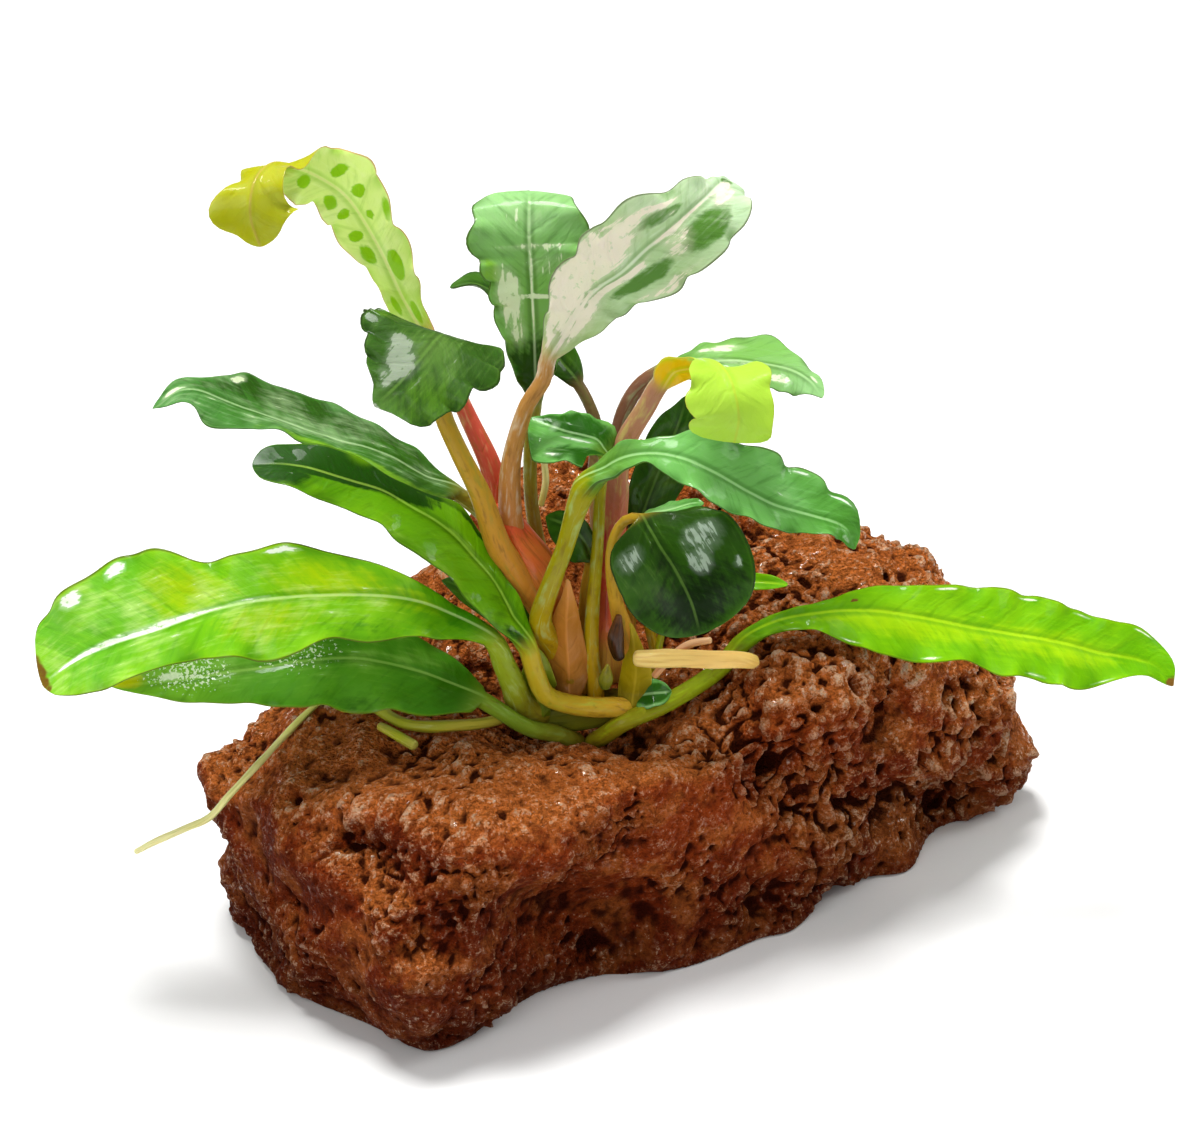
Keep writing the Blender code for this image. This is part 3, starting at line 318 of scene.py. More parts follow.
leaf("folded_yellow_leaf", "leaf_yellow", "yellow", blade=6,
     path=((.7, 4, 38), (1.2, 4.4, 44.5), (1.6, 4.6, 49.2), (1.7, 4.6, 52), (2.7, 4.5, 55.5),
           (4.5, 4.3, 59), (6, 4, 62), (8, 3, 64), (10.4, .8, 65.6), (12.2, -2.2, 66), (13, -4.2, 65),
           (13.4, -5, 62.8), (13, -4.8, 60)),
     stalk=(1.1, 1.35, 1.35, 1.15, 1, .95), cup=-.15, ripple=(3, .4, .35), lobes=.07,
     right=(.9, 1.6, 1.8, 1.3, 1.3, 1.6, 2, 2.8, 3.6, 3.9, 3.4, 3.2, 3.5, 3.2, 2.2),
     left=(.9, 1.8, 2, 1.4, 1.3, 1.6, 2.4, 3.4, 4.3, 4.7, 4.3, 4.4, 4.5, 4, 2.6),
     across=((0, (.7, .3, -.6)), (.35, (.6, .3, -.5)), (.5, (.9, .1, 0)), (.7, (1, 0, 0)), (1, (1, 0, 0))),
     marks=dict(
         pale=((.55, .4, .1, .25, .6), (.62, -.4, .08, .35, .5)),
         warm=((.12, 0, .2, 1.3, 1.3),),
         gloss_and_painted_sheen=((.75, 0, .2, .8, .5),),
         spark=((.9, 0, .1, .9, .7),)))
leaf("arching_right_leaf", "leaf_dark", "mid_green", blade=6,
     path=((-3.6, 1.7, 30), (-4.9, .7, 34), (-6, -1.4, 38), (-4.6, -2.2, 43.5), (-3.5, -2.6, 47),
           (-2.5, -3, 51), (-1.5, -3.2, 54), (0, -3.6, 56.2), (2.5, -4, 58), (5.5, -4.4, 58.6),
           (8.5, -5, 58.2), (11.5, -5, 56.6), (14.5, -5, 54.6), (17.5, -5, 53), (21, -5, 51.8),
           (24, -5.2, 50.8), (25, -5.6, 48.6)),
     stalk=(.8, 1.1, 1.2, 1.05, .95, .9, 1, 1.3), cup=.12, ripple=(5, .5, .3), lobes=.05,
     right=(1.4, 1.5, 1.5, 1.4, 1.6, 2.5, 3.2, 3.1, 2.9, 2.7, 2.3, 1.9, 1.7, 1.2, .4),
     left=(1.4, 1.4, 1.4, 1.5, 1.9, 3.1, 4, 4.6, 4.7, 4.8, 4.4, 3.5, 2.9, 1.5, .4),
     across=((0, (-.1, -.8, -.5)), (.4, (-.2, -.7, -.5)), (1, (-.3, -.7, -.5))), marks=dict(
         pale=((.3, -.88, .03, .05, .9), (.75, -.88, .03, .05, .9), (.88, -.82, .03, .05, .9),
               (.45, .88, .03, .05, .8), (.95, .6, .02, .2, .9)),
         gloss_and_painted_sheen=((.5, .2, .5, .6, .25),),
         warm=((0, 0, .07, 1.2, .9),)))
leaf("small_crown_leaf", "leaf_dark", "mid_green", blade=5,
     path=((-.2, 1.2, 25.6), (-.5, .9, 28.8), (-.9, 1, 34.5), (-.2, 1, 46), (0, 1.4, 51), (.4, 2.4, 54.5),
           (-.2, 3, 56), (-1.6, 3.2, 56.6), (-3.5, 3.8, 56.8), (-5, 4.8, 56.8), (-7, 5.8, 57)),
     stalk=(.9, .75, .6, .6), cup=.1, ripple=(2, .4, .35),
     right=(.7, 2.4, 2.7, 2.4, 1.9, 1.2, .3),
     left=(.7, 3, 4.4, 4.6, 4.2, 2.6, .3),
     across=((0, (.2, .9, .4)), (1, (0, .9, .4))), marks=dict(
         gloss_and_painted_sheen=((.5, 0, .5, 1, .35),),
         pale=((.4, -.2, .16, .07, .9), (.7, .1, .06, .3, .6), (.55, -.75, .07, .06, .8)),
         dark=((.5, .4, .4, .5, .9), (.3, -.7, .3, .3, .8))))
leaf("round_hanging_leaf", "leaf_dark", "dark", blade=7,
     path=((3.8, 2.8, 26), (3.7, 2.2, 29.6), (3, 1, 33), (1.6, -.5, 39.5), (1.1, -1.2, 43.8),
           (1.3, -.9, 46.8), (2.4, -.4, 48.8), (4, -1.2, 49.6), (5, -2.6, 49), (6, -3.6, 47.6),
           (7.5, -4.4, 45.4), (9, -5.2, 42.4), (10, -5.6, 38.8)),
     stalk=(1.5, 1.3, 1, .65, .55, .5), cup=-.08, ripple=(1, .2, .35),
     right=(.8, 2.4, 4.2, 5, 5.4, 5.8, 6, 6.2, 6.2, 6, 5.7, 5, 4, 2.8, 1.2),
     left=(.8, 2.6, 4.8, 6.4, 7.1, 7.5, 7.6, 7.5, 7.3, 7, 6.5, 5.6, 4.3, 3, 1.2),
     across=((0, (-1, 0, 0)), (.5, (-.9, -.1, -.35)), (1, (-.83, -.2, -.45))), marks=dict(
         pale=((.36, -.55, .12, .3, .75), (.5, -.35, .1, .16, .8), (.24, .6, .08, .3, .7),
               (.62, -.8, .04, .06, .8)),
         gloss_and_painted_sheen=((.35, 0, .25, .9, .5),),
         dark=((.75, 0, .3, 1, .6), (.4, .1, .2, .25, .5))))
leaf("long_right_leaf", "leaf_bright", "lime", blade=6,
     path=((-1, 1.2, 21.6), (.8, -1.2, 24.4), (2.6, -1.8, 26.2), (6, .6, 26.4), (9.4, 3.2, 27),
           (12.4, 5.6, 28), (14.4, 6.8, 30), (17, 7, 32.2), (20, 7, 33.4), (24, 7, 34), (28.5, 7, 34),
           (33, 7, 33.2), (40, 6.5, 32), (46.5, 6, 31), (51.5, 6, 29.6), (57, 6, 28.2), (59.2, 5, 26.2)),
     stalk=(.9, .95, .95, .95, .95, 1), cup=.1, ripple=(7, .5, .25),
     right=(1, 1.1, 1.3, 2.2, 4, 4.4, 4.8, 3.6, 4.4, 4.3, 4.6, 3, 1.6, 1.1, .4),
     left=(1, .9, .8, 1.2, 2.1, 3.1, 3.5, 4.3, 4.4, 4.2, 3.7, 3.5, 3, 1.8, .5),
     across=((0, (0, -.6, -.7)),), marks=dict(
         warm=((.4, .2, .25, .4, .7), (.7, .1, .2, .4, .7)),
         brown=((.27, -.5, .007, .07, 1.2), (1, 0, .02, 1.2, 1)),
         pale=((.46, -.9, .022, .035, .9), (.64, -.9, .022, .035, .9), (.76, -.9, .02, .035, .9),
               (.9, -.88, .02, .04, .9), (.13, .88, .02, .04, .8), (.26, .9, .022, .035, .9),
               (.45, .9, .022, .035, .9), (.68, .9, .022, .035, .9), (.83, .88, .02, .04, .8))))
leaf("small_side_leaf", "leaf_dark", "mid_green", blade=4,
     path=((5.6, 5.8, 26), (5.6, 6.6, 29.6), (4.2, 7.2, 36), (3.8, 7.8, 41.5), (4.6, 7.8, 44.6),
           (6.6, 7.4, 45.6), (8.6, 7, 46.4), (10.5, 6.8, 46.8)),
     stalk=(.6, .5, .45, .45), cup=.1, ripple=(2, .15, .35),
     right=(.5, 1.4, 2, 2.2, 1.8, 1, .2),
     left=(.5, 1, 1.2, 1.2, 1.2, .8, .2),
     across=((0, (0, -1, 0)),), marks=dict(
         gloss_and_painted_sheen=((.4, .2, .4, .6, 1),)))
leaf("twisted_dark_leaf", "leaf_dark", "dark", blade=3,
     path=((2.8, 6, 28), (3.2, 7.6, 34), (3.2, 9.4, 37.5), (3.5, 10.8, 40.5), (4.5, 11.2, 43.5),
           (5.8, 11.2, 47.5), (7.2, 11.2, 51.5), (8.2, 11, 54.6), (8.8, 10.8, 57)),
     stalk=(.8, .6, .55, .55), cup=.12, ripple=(2, .25, .35),
     right=(.6, 1.8, 3, 3.3, 2.8, 1.8, .3),
     left=(.6, 1.4, 2.4, 2.9, 2.8, 1.8, .3),
     across=((0, (.85, .2, -.5)),), marks=dict(
         gloss_and_painted_sheen=((.5, .2, .3, .6, .9),)))
leaf("back_centre_leaf", "leaf_dark", "dark_brown", blade=6,
     path=((.2, 5.6, 36), (0, 6.4, 41), (-.3, 7.4, 45), (-.6, 9.6, 49), (-.3, 12, 52.5), (-1.2, 13.2, 55),
           (-2.2, 14, 56.6), (-3.4, 14.8, 58.2), (-5.2, 15.4, 60.6), (-7.6, 15.6, 63.5), (-10, 15.4, 66),
           (-12.6, 14.8, 67.8), (-15, 13.8, 67.6)),
     stalk=(.8, .8, .7, .6, .6), cup=.1, ripple=(2, .2, .35),
     right=(.7, 1.8, 2.6, 2.8, 2.4, 2, .4),
     left=(.7, 1.6, 2.4, 2.6, 2.4, 2, .4),
     across=((0, (.8, .3, .3)), (.3, (.3, .95, .2)), (1, (.1, .95, -.2))))
leaf("inner_dark_leaf", "leaf_dark", "dark", blade=4,
     path=((-1.4, 3.4, 25.6), (-1.6, 4, 28.4), (-1.8, 4.2, 32.5), (-1.5, 4, 38.5), (-1, 3.6, 42),
           (-1.3, 3.2, 44), (-2.4, 2.8, 45.8), (-3.8, 2.4, 47), (-5.4, 1.8, 48)),
     stalk=(.7, .6, .5, .5), cup=.1, ripple=(2, .1, .35),
     right=(.5, 1, 1.3, 1.4, 1.4, 1, .2),
     left=(.5, 1.6, 2.6, 2.7, 2.3, 1.4, .2),
     across=((0, (.32, .48, .64)),))
leaf("small_bright_leaf", "leaf_bright", "lime", blade=3,
     path=((5, 4, 26.6), (5.8, 4.4, 30), (7, 4.8, 35), (10, 4.8, 37.6), (13.5, 4.8, 38.8),
           (16.5, 4.2, 39.2), (19, 3.2, 39.4)),
     stalk=(.5, .4, .35, .35), cup=.1, ripple=(1, .1, .35),
     right=(.4, .7, .9, 1, .9, .7, .2),
     left=(.4, .7, .9, 1, .9, .7, .2),
     across=((0, (0, -.9, -.4)),))
leaf("base_leaf", "leaf_bright", "mid_green", blade=2,
     path=((1.6, 2, 25.6), (2.7, 1.4, 26.8), (3.3, .6, 27.4), (4.4, .3, 28), (5.7, .1, 28.4),
           (7.3, .1, 28.6)),
     stalk=(.5, .45, .4), cup=.1, ripple=(2, .2, .35),
     right=(.4, 1.1, 1.5, 1.6, 1.4, .9, .2),
     left=(.4, 1.1, 1.5, 1.6, 1.4, .9, .2),
     across=((0, (0, -.7, -.7)),), marks=dict(
         dark=((.5, 0, .6, .7, 1.1),),
         pale=((.5, .85, .3, .08, .7),)))
leaf("hidden_left_leaf", "leaf_dark", "dark", blade=2,
     path=((-4.6, 4, 26), (-5.4, 4.2, 29.8), (-6.2, 3.8, 33), (-8.2, 3.6, 35.2), (-10.8, 3.4, 37.2),
           (-13.5, 3, 38.8), (-16, 3, 40)),
     stalk=(.7, .6, .55), cup=.1, ripple=(1, .1, .35),
     right=(.6, 1.6, 2.3, 2.5, 2, 1.2, .2),
     left=(.6, 1.6, 2.3, 2.5, 2, 1.2, .2),
     across=((0, (.3, .9, .4)),))

# Sheaths: pointed scale leaves that clasp the foot of a shoot.
leaf("trunk_sheath", "stem", "orange_sheath", table=SHEATHS, blade=1,
     path=((-3, 1.2, 26.4), (-3.1, .2, 28.6), (-3.2, -.5, 32), (-3.4, -.7, 36), (-3.3, -.8, 39.5),
           (-3.25, -.9, 42.4)),
     stalk=(1.2, 1.3), cup=-.55, ripple=(1, 0, .3),
     right=(1.5, 1.9, 1.9, 1.7, 1.2, .6, .2),
     left=(1.5, 1.9, 2, 1.8, 1.2, .5, .2),
     across=((0, (1, 0, 0)),))
leaf("green_sheath", "stem", "green_sheath", table=SHEATHS, blade=1,
     path=((-5.6, 1, 25.2), (-6.2, -.2, 26.8), (-6.5, -1.2, 29.6), (-6.6, -1.5, 32.6), (-7.2, -1.4, 35.2)),
     stalk=(1, 1.1), cup=-.4, ripple=(1, .1, .3),
     right=(1.3, 1.9, 2.1, 1.9, 1.4, .8, .2),
     left=(1.3, 1.7, 1.8, 1.5, 1, .5, .2),
     across=((0, (1, 0, 0)), (1, (.95, .1, .2))))
leaf("right_sheath", "stem", "olive_sheath", table=SHEATHS, blade=1,
     path=((2.6, 2, 25.4), (3.2, .4, 27.4), (3.6, -.4, 30.4), (3.5, -.6, 33.6), (3, -.4, 37)),
     stalk=(1.2, 1.3), cup=-.5, ripple=(1, 0, .3),
     right=(1.4, 1.7, 1.7, 1.4, .9, .5, .2),
     left=(1.4, 1.6, 1.6, 1.3, .9, .5, .2),
     across=((0, (1, 0, 0)),))
leaf("left_shoot_bud", "stem", "red_sheath", table=SHEATHS, blade=1,
     path=((-7.4, 3, 41.5), (-8.6, 3, 44.6), (-9.6, 3.2, 48), (-10, 3.6, 51.6)),
     stalk=(1.2, 1.4), cup=-.35, ripple=(1, 0, .3),
     right=(1.4, 1.6, 1.5, 1.2, .8, .4, .2),
     left=(1.4, 1.6, 1.5, 1.1, .7, .4, .2),
     across=((0, (.9, .1, .4)),))

# Colours of the leaf finishes as screen values from 0 to 255, in the order of the tones. A blade has
# mottling, pale patches of painted reflection, warm patches, dark patches that are painted shade (on the
# curled tip leaf its darker spots) and brown scorched spots; the pale tone also colours painted highlights
# and glints.
TONES = ("foot", "middle", "tip", "mottle", "vein", "edge", "under", "pale", "warm", "dark", "brown",
         "stalk_foot", "stalk_top")
LEAF_COLOURS = {name: dict(zip(TONES, row)) for name, row in {
    "bright": ((84, 150, 0), (110, 180, 10), (104, 178, 40), (150, 204, 20), (206, 232, 150), (74, 76, 14),
        (96, 150, 20), (238, 250, 228), (164, 196, 0), (58, 128, 0), (112, 78, 20), (176, 160, 40),
        (140, 160, 30)),
    "bright_shaded": ((54, 116, 14), (82, 148, 26), (136, 194, 46), (104, 170, 36), (160, 200, 96),
        (96, 110, 14), (70, 126, 36), (232, 244, 214), (206, 206, 0), (50, 104, 0), (105, 70, 25),
        (172, 160, 44), (120, 150, 34)),
    "half_in_painted_shade": ((84, 144, 4), (104, 168, 4), (66, 118, 0), (126, 184, 10), (170, 210, 80), (50, 80, 8),
        (90, 146, 44), (230, 244, 220), (140, 186, 10), (28, 68, 0), (105, 70, 25), (208, 164, 46),
        (190, 166, 34)),
    "lime": ((96, 156, 0), (112, 178, 0), (104, 172, 0), (140, 200, 0), (180, 222, 30), (96, 120, 10),
        (110, 164, 10), (240, 252, 214), (160, 204, 0), (70, 140, 0), (120, 80, 30), (156, 140, 24),
        (140, 158, 16)),
    "silver_green": ((72, 118, 0), (114, 166, 76), (142, 190, 122), (116, 168, 90), (176, 206, 150),
        (44, 70, 20), (70, 110, 30), (216, 230, 190), (120, 170, 30), (34, 70, 0), (105, 70, 25),
        (196, 130, 60), (140, 136, 36)),
    "silver_and_painted_reflection": ((160, 180, 120), (166, 194, 140), (184, 210, 172), (192, 216, 172), (228, 234, 212),
        (60, 66, 40), (96, 116, 50), (230, 222, 200), (130, 140, 60), (82, 126, 48), (105, 70, 25),
        (190, 112, 52), (176, 126, 62)),
    "mid_green": ((84, 120, 0), (106, 170, 82), (64, 126, 32), (120, 182, 100), (170, 214, 146),
        (50, 72, 20), (80, 120, 30), (222, 238, 214), (140, 146, 0), (34, 88, 6), (105, 70, 25),
        (180, 140, 10), (146, 140, 4)),
    "dark": ((30, 60, 0), (38, 76, 2), (44, 84, 6), (66, 110, 20), (96, 132, 52), (30, 44, 10),
        (60, 92, 20), (166, 184, 164), (84, 130, 20), (12, 34, 0), (105, 70, 25), (212, 132, 50),
        (176, 140, 34)),
    "pale_spotted": ((176, 216, 70), (214, 242, 130), (156, 160, 0), (226, 248, 160), (226, 226, 150),
        (190, 130, 90), (160, 160, 0), (240, 246, 200), (160, 168, 0), (140, 196, 10), (150, 110, 40),
        (214, 92, 50), (206, 84, 64)),
    "yellow": ((226, 180, 0), (156, 210, 62), (150, 206, 56), (200, 238, 110), (214, 224, 110),
        (190, 170, 40), (162, 202, 58), (236, 250, 180), (230, 186, 0), (150, 196, 0), (150, 110, 40),
        (206, 76, 56), (176, 124, 92)),
}.items()}


def variant(name, like, **tones):
    """Enter a leaf finish that differs from another in some tones."""
    LEAF_COLOURS[name] = dict(LEAF_COLOURS[like], **tones)


variant("silver_brown", "silver_green", stalk_foot=(176, 96, 60), stalk_top=(128, 88, 66))
variant("deep_silver", "silver_green", foot=(50, 96, 0), middle=(56, 108, 28), tip=(70, 126, 54),
        mottle=(108, 158, 92))
variant("dark_grey", "dark", middle=(44, 78, 16), tip=(54, 88, 28), pale=(138, 150, 128),
        mottle=(74, 112, 40))
variant("dark_brown", "dark", stalk_foot=(160, 110, 60), stalk_top=(120, 100, 60))
SHEATH_SHADE = 0.7  # the foot of a sheath, as a share of its outside's brightness
for sheath, outside, top in (("orange_sheath", (174, 112, 34), (206, 138, 66)),
                             ("green_sheath", (130, 150, 20), (176, 190, 60)),
                             ("olive_sheath", (150, 132, 4), (186, 164, 40)),
                             ("red_sheath", (196, 92, 36), (206, 62, 52))):
    LEAF_COLOURS[sheath] = dict(
        dict.fromkeys(("middle", "under", "dark", "stalk_foot", "stalk_top"), outside),
        **dict.fromkeys(("tip", "mottle", "vein", "edge", "warm"), top),
        foot=tuple(c * SHEATH_SHADE for c in outside), pale=(250, 236, 200), brown=(90, 50, 20))

# Colours of stems and roots at foot, middle and top, then of their lengthwise lines.
STEM_COLOURS = {
    "olive": ((96, 104, 24), (124, 124, 28), (150, 140, 40), (70, 74, 16)),
    "orange": ((140, 104, 10), (200, 116, 44), (214, 88, 48), (140, 76, 20)),
    "red": ((200, 150, 60), (206, 92, 60), (196, 52, 60), (150, 50, 40)),
    "sheath": ((40, 20, 6), (64, 34, 12), (96, 56, 24), (16, 8, 2)),
    "cream_root": ((236, 206, 120), (240, 200, 116), (226, 186, 96), (206, 160, 76)),
    "pink_root": ((226, 180, 130), (222, 170, 130), (206, 150, 100), (190, 130, 90)),
    "green_root": ((190, 180, 60), (176, 182, 40), (190, 186, 80), (140, 140, 30)),
    "pale_root": ((206, 206, 110), (230, 226, 150), (238, 232, 170), (190, 186, 100)),
}


def screen(values):
    """A colour given as screen values from 0 to 255, as the shader wants it."""
    return tuple((v / 255 / 12.92) if v <= 10 else ((v / 255 + 0.055) / 1.055) ** 2.4
                 for v in values) + (1.0,)


def smooth_line(points):
    """Points along a smooth curve through the given ones, and the distance run to each."""
    given = np.array(points, float)
    given = np.vstack((2 * given[0] - given[1], given, 2 * given[-1] - given[-2]))
    line = []
    for a, b, c, d in zip(given, given[1:], given[2:], given[3:]):
        for k in range(PER_SPAN):
            t = k / PER_SPAN
            line.append(0.5 * (2 * b + (c - a) * t + (2 * a - 5 * b + 4 * c - d) * t ** 2
                               + (3 * b - a - 3 * c + d) * t ** 3))
    line = np.array(line + [given[-2]])
    run = np.concatenate(((0.0,), np.cumsum(np.linalg.norm(np.diff(line, axis=0), axis=1))))
    return line, run


def value_at(xs, ys, x):
    """Straight-line vectors between listed pairs."""
    ys = np.array(ys, float)
    return np.stack([np.interp(x, xs, ys[:, k]) for k in range(3)], axis=-1)


def eased(xs, ys, x):
    """Values eased between listed pairs, without corners."""
    xs, ys = np.array(xs, float), np.array(ys, float)
    slope = np.gradient(ys, xs)
    x = np.clip(x, xs[0], xs[-1])
    i = np.clip(np.searchsorted(xs, x, side="right") - 1, 0, len(xs) - 2)
    span = xs[i + 1] - xs[i]
    t = (x - xs[i]) / span
    return ((2 * t ** 3 - 3 * t ** 2 + 1) * ys[i] + (t ** 3 - 2 * t ** 2 + t) * span * slope[i]
            + (3 * t ** 2 - 2 * t ** 3) * ys[i + 1] + (t ** 3 - t ** 2) * span * slope[i + 1])


def soft_step(low, high, x):
    """0 below low, 1 above high, eased between."""
    t = np.clip((x - low) / (high - low), 0.0, 1.0)
    return t * t * (3 - 2 * t)


def rounded(away):
    """Height of a quarter circle of radius 1 at a distance from its middle."""
    return np.sqrt(np.clip(1 - away ** 2, 0, 1))


def unit(vectors):
    """Vectors brought to length 1."""
    return vectors / np.maximum(np.linalg.norm(vectors, axis=-1, keepdims=True), 1e-9)


def headings(line, run, at, reach=0.5):
    """Direction of a line at the given distances, taken over a short reach."""
    return unit(value_at(run, line, np.minimum(at + reach, run[-1]))
                - value_at(run, line, np.maximum(at - reach, 0.0)))


def rough_field(places, size, seed):
    """Smooth noise at places, in millimetres, with lumps of the given size."""
    shift = Vector((seed * 7.31, seed * 3.17, seed * 5.53))
    values = [noise.noise(Vector(p) + shift) for p in places.reshape(-1, 3) / size]
    return np.array(values).reshape(places.shape[:-1])


def alone():
    """Deselect everything, so that an operator acts on the new piece only."""
    if bpy.context.mode != "OBJECT":
        bpy.ops.object.mode_set(mode="OBJECT")
    bpy.ops.object.select_all(action="DESELECT")


def edit_all(*steps):
    """Take edit-mode steps, each an operator with its settings, on all of the active piece."""
    bpy.ops.object.mode_set(mode="EDIT")
    bpy.ops.mesh.select_all(action="SELECT")
    for operator, settings in steps:
        operator(**settings)
    bpy.ops.object.mode_set(mode="OBJECT")


def mesh_places(mesh, field="co"):
    """Places or normals of a mesh's points as an array."""
    values = np.empty(len(mesh.vertices) * 3)
    mesh.vertices.foreach_get(field, values)
    return values.reshape(-1, 3)


def keep_marks(mesh, marks):
    """Keep numbers or vectors on a mesh's points for its material."""
    for mark, values in marks.items():
        kind, field = ("FLOAT", "value") if values.ndim == 1 else ("FLOAT_VECTOR", "vector")
        mesh.attributes.new(mark, kind, "POINT").data.foreach_set(field, values.ravel())


def rolled_grid(name, places, marks):
    """A grid rolled into a closed tube: places[along, around] in millimetres, the last of a ring
    lying on its first, with a list of numbers or vectors per point for each named mark."""
    alone()
    rows, columns = places.shape[:2]
    bpy.ops.mesh.primitive_grid_add(x_subdivisions=columns - 1, y_subdivisions=rows - 1, size=1.0,
                                    calc_uvs=True)
    piece = bpy.context.active_object
    piece.name = piece.data.name = name
    flat = mesh_places(piece.data) + 0.5
    column = np.rint(flat[:, 0] * (columns - 1)).astype(int)
    row = np.rint(flat[:, 1] * (rows - 1)).astype(int)
    piece.data.vertices.foreach_set("co", (places[row, column] * MM).ravel())
    keep_marks(piece.data, {mark: values[row, column] for mark, values in marks.items()})
    edit_all((bpy.ops.mesh.remove_doubles, {"threshold": 2e-6}),
             (bpy.ops.mesh.normals_make_consistent, {"inside": False}))
    bpy.ops.object.shade_smooth()
    return piece


def leaf_piece(name, spec, settings, seed):
    """One leaf with its stalk: a thin closed blade with a rib below and wavy margins."""
    line, run = smooth_line(spec["path"])
    end, start = run[-1], run[spec["blade"] * PER_SPAN]
    length = end - start
    down_stalk = np.linspace(0.0, start, max(10, int(start / 0.9)), endpoint=False)
    up_blade = start + length * np.linspace(0.0, 1.0, int(length / settings.step) + 8)
    close_tip = end - length * np.array((0.012, 0.006, 0.002, 0.0005))
    at = np.unique(np.concatenate(((0.0, 0.04, 0.12, 0.25), down_stalk, up_blade, close_tip)))
    f = (at - start) / length
    grow = np.clip(f, 0.0, 1.0)
    point = value_at(run, line, at)
    ahead = headings(line, run, at)
    turns, sides = zip(*spec["across"])
    side = value_at(turns, unit(np.array(sides, float)), f)
    side = unit(side - ahead * np.sum(side * ahead, axis=-1, keepdims=True))
    up = np.cross(side, ahead)

    down = np.clip(at / start, 0, 1)
    stalk = eased(np.linspace(0.0, 1.0, len(spec["stalk"])), spec["stalk"], down)
    tip_round = rounded(np.clip(f - (1 - TIP_SHARE), 0, 1) / TIP_SHARE) + 1e-4
    foot_round = rounded(np.clip(FOOT_LENGTH - at, 0, 1) / FOOT_LENGTH) + 1e-3
    edge_at = EDGE_AT if len(spec["right"]) == len(EDGE_AT) else WIDTH_AT
    halves = [np.maximum(np.where(f > 0, np.maximum(eased(edge_at, spec[part], grow), 0.25), stalk)
                         * tip_round * foot_round, 1e-4)[:, None] for part in ("right", "left")]
    opened = soft_step(0.0, OPENING, f)[:, None]

    t = np.array(ACROSS + ACROSS[-2:0:-1] + ACROSS[:1])
    face = np.ones(len(t))
    face[len(ACROSS):-1] = -1.0
    face[np.abs(t) == 1] = 0.0
    grid_t = np.broadcast_to(t, (len(at), len(t)))
    wide = np.where(grid_t > 0, *halves)
    count, height, shift = spec["ripple"]
    ease = (np.clip(f * 6, 0, 1) * np.clip((1 - f) * 8 + 0.15, 0, 1))[:, None]
    phase = np.where(grid_t > 0, 0.0, shift * 2 * math.pi)
    drift = rough_field(np.stack((f * count, f * 0 + seed, f * 0), axis=-1), 1.6, seed)[:, None]
    turn = 2 * math.pi * count * (f[:, None] + 0.35 * drift / count) + phase
    wave = np.sin(turn) + 0.35 * np.sin(2.3 * turn + 1.7)
    lobes = spec["lobes"] * np.abs(grid_t) ** 3 * opened
    lobe_turn = turn * LOBE_PACE + LOBE_START
    onward = -0.8 * lobes * wide * np.cos(lobe_turn)
    out = grid_t * wide * (1 + lobes * np.sin(lobe_turn))
    blade_mid = (point[:, None] + side[:, None] * out[..., None] + ahead[:, None] * onward[..., None])
    from_mid = np.abs(out)
    swell = rough_field(blade_mid, 5.5, seed) * 0.45 + rough_field(blade_mid, 2.6, seed + 9) * 0.16
    veins = np.sin((f[:, None] * length - VEIN_SLANT * from_mid) * 2 * math.pi / VEIN_SPACING)
    lift = (spec["cup"] * from_mid * ease
            + height * settings.ripple * np.abs(grid_t) ** 2.4 * ease * wave
            + swell * (opened * ease) * settings.unevenness
            + 0.03 * veins * (opened * ease) * np.sin(math.pi * np.abs(grid_t)) ** 2)

    grow = grow[:, None]
    plump = settings.thickness * (1 - 0.35 * grow) * rounded(np.abs(grid_t) ** 4)
    rib = stalk[-1] * 0.95 * (1 - grow) ** 1.5 + 0.16
    below = plump + rib * np.exp(-(from_mid / (rib * 0.95)) ** 2) * (face < 0)
    above = plump - 0.11 * (1 - 0.5 * grow) * np.exp(-(from_mid / 0.4) ** 2)
    thick = ((1 - opened) * stalk[:, None] * rounded(grid_t)
             + opened * np.where(face < 0, below, above)) * (tip_round * foot_round)[:, None]
    places = blade_mid + up[:, None] * (lift + face * thick)[..., None]

    def spread(values):
        """One number for each point of the grid."""
        return np.broadcast_to(values, grid_t.shape).astype(float)

    marks = {
        "across": grid_t, "along": spread(np.where(f > 0, f, -1 + at / start)[:, None]),
        "under": spread(face < 0),
        "crest": np.clip(wave, -1, 1.5) * np.abs(grid_t) ** 3 * ease,
        "span": np.stack((out, spread(at[:, None]), spread(face)), axis=-1),
    }
    for kind in MARK_KINDS:
        field = np.zeros(grid_t.shape)
        for middle_f, middle_t, reach_f, reach_t, strength in spec["marks"].get(kind, ()):
            away = ((f[:, None] - middle_f) / reach_f) ** 2 + ((grid_t - middle_t) / reach_t) ** 2
            field = np.maximum(field, strength * np.clip(1 - away * 0.5, 0, 1))
        marks[kind] = field * (face >= 0)
    return rolled_grid(name, places, marks)


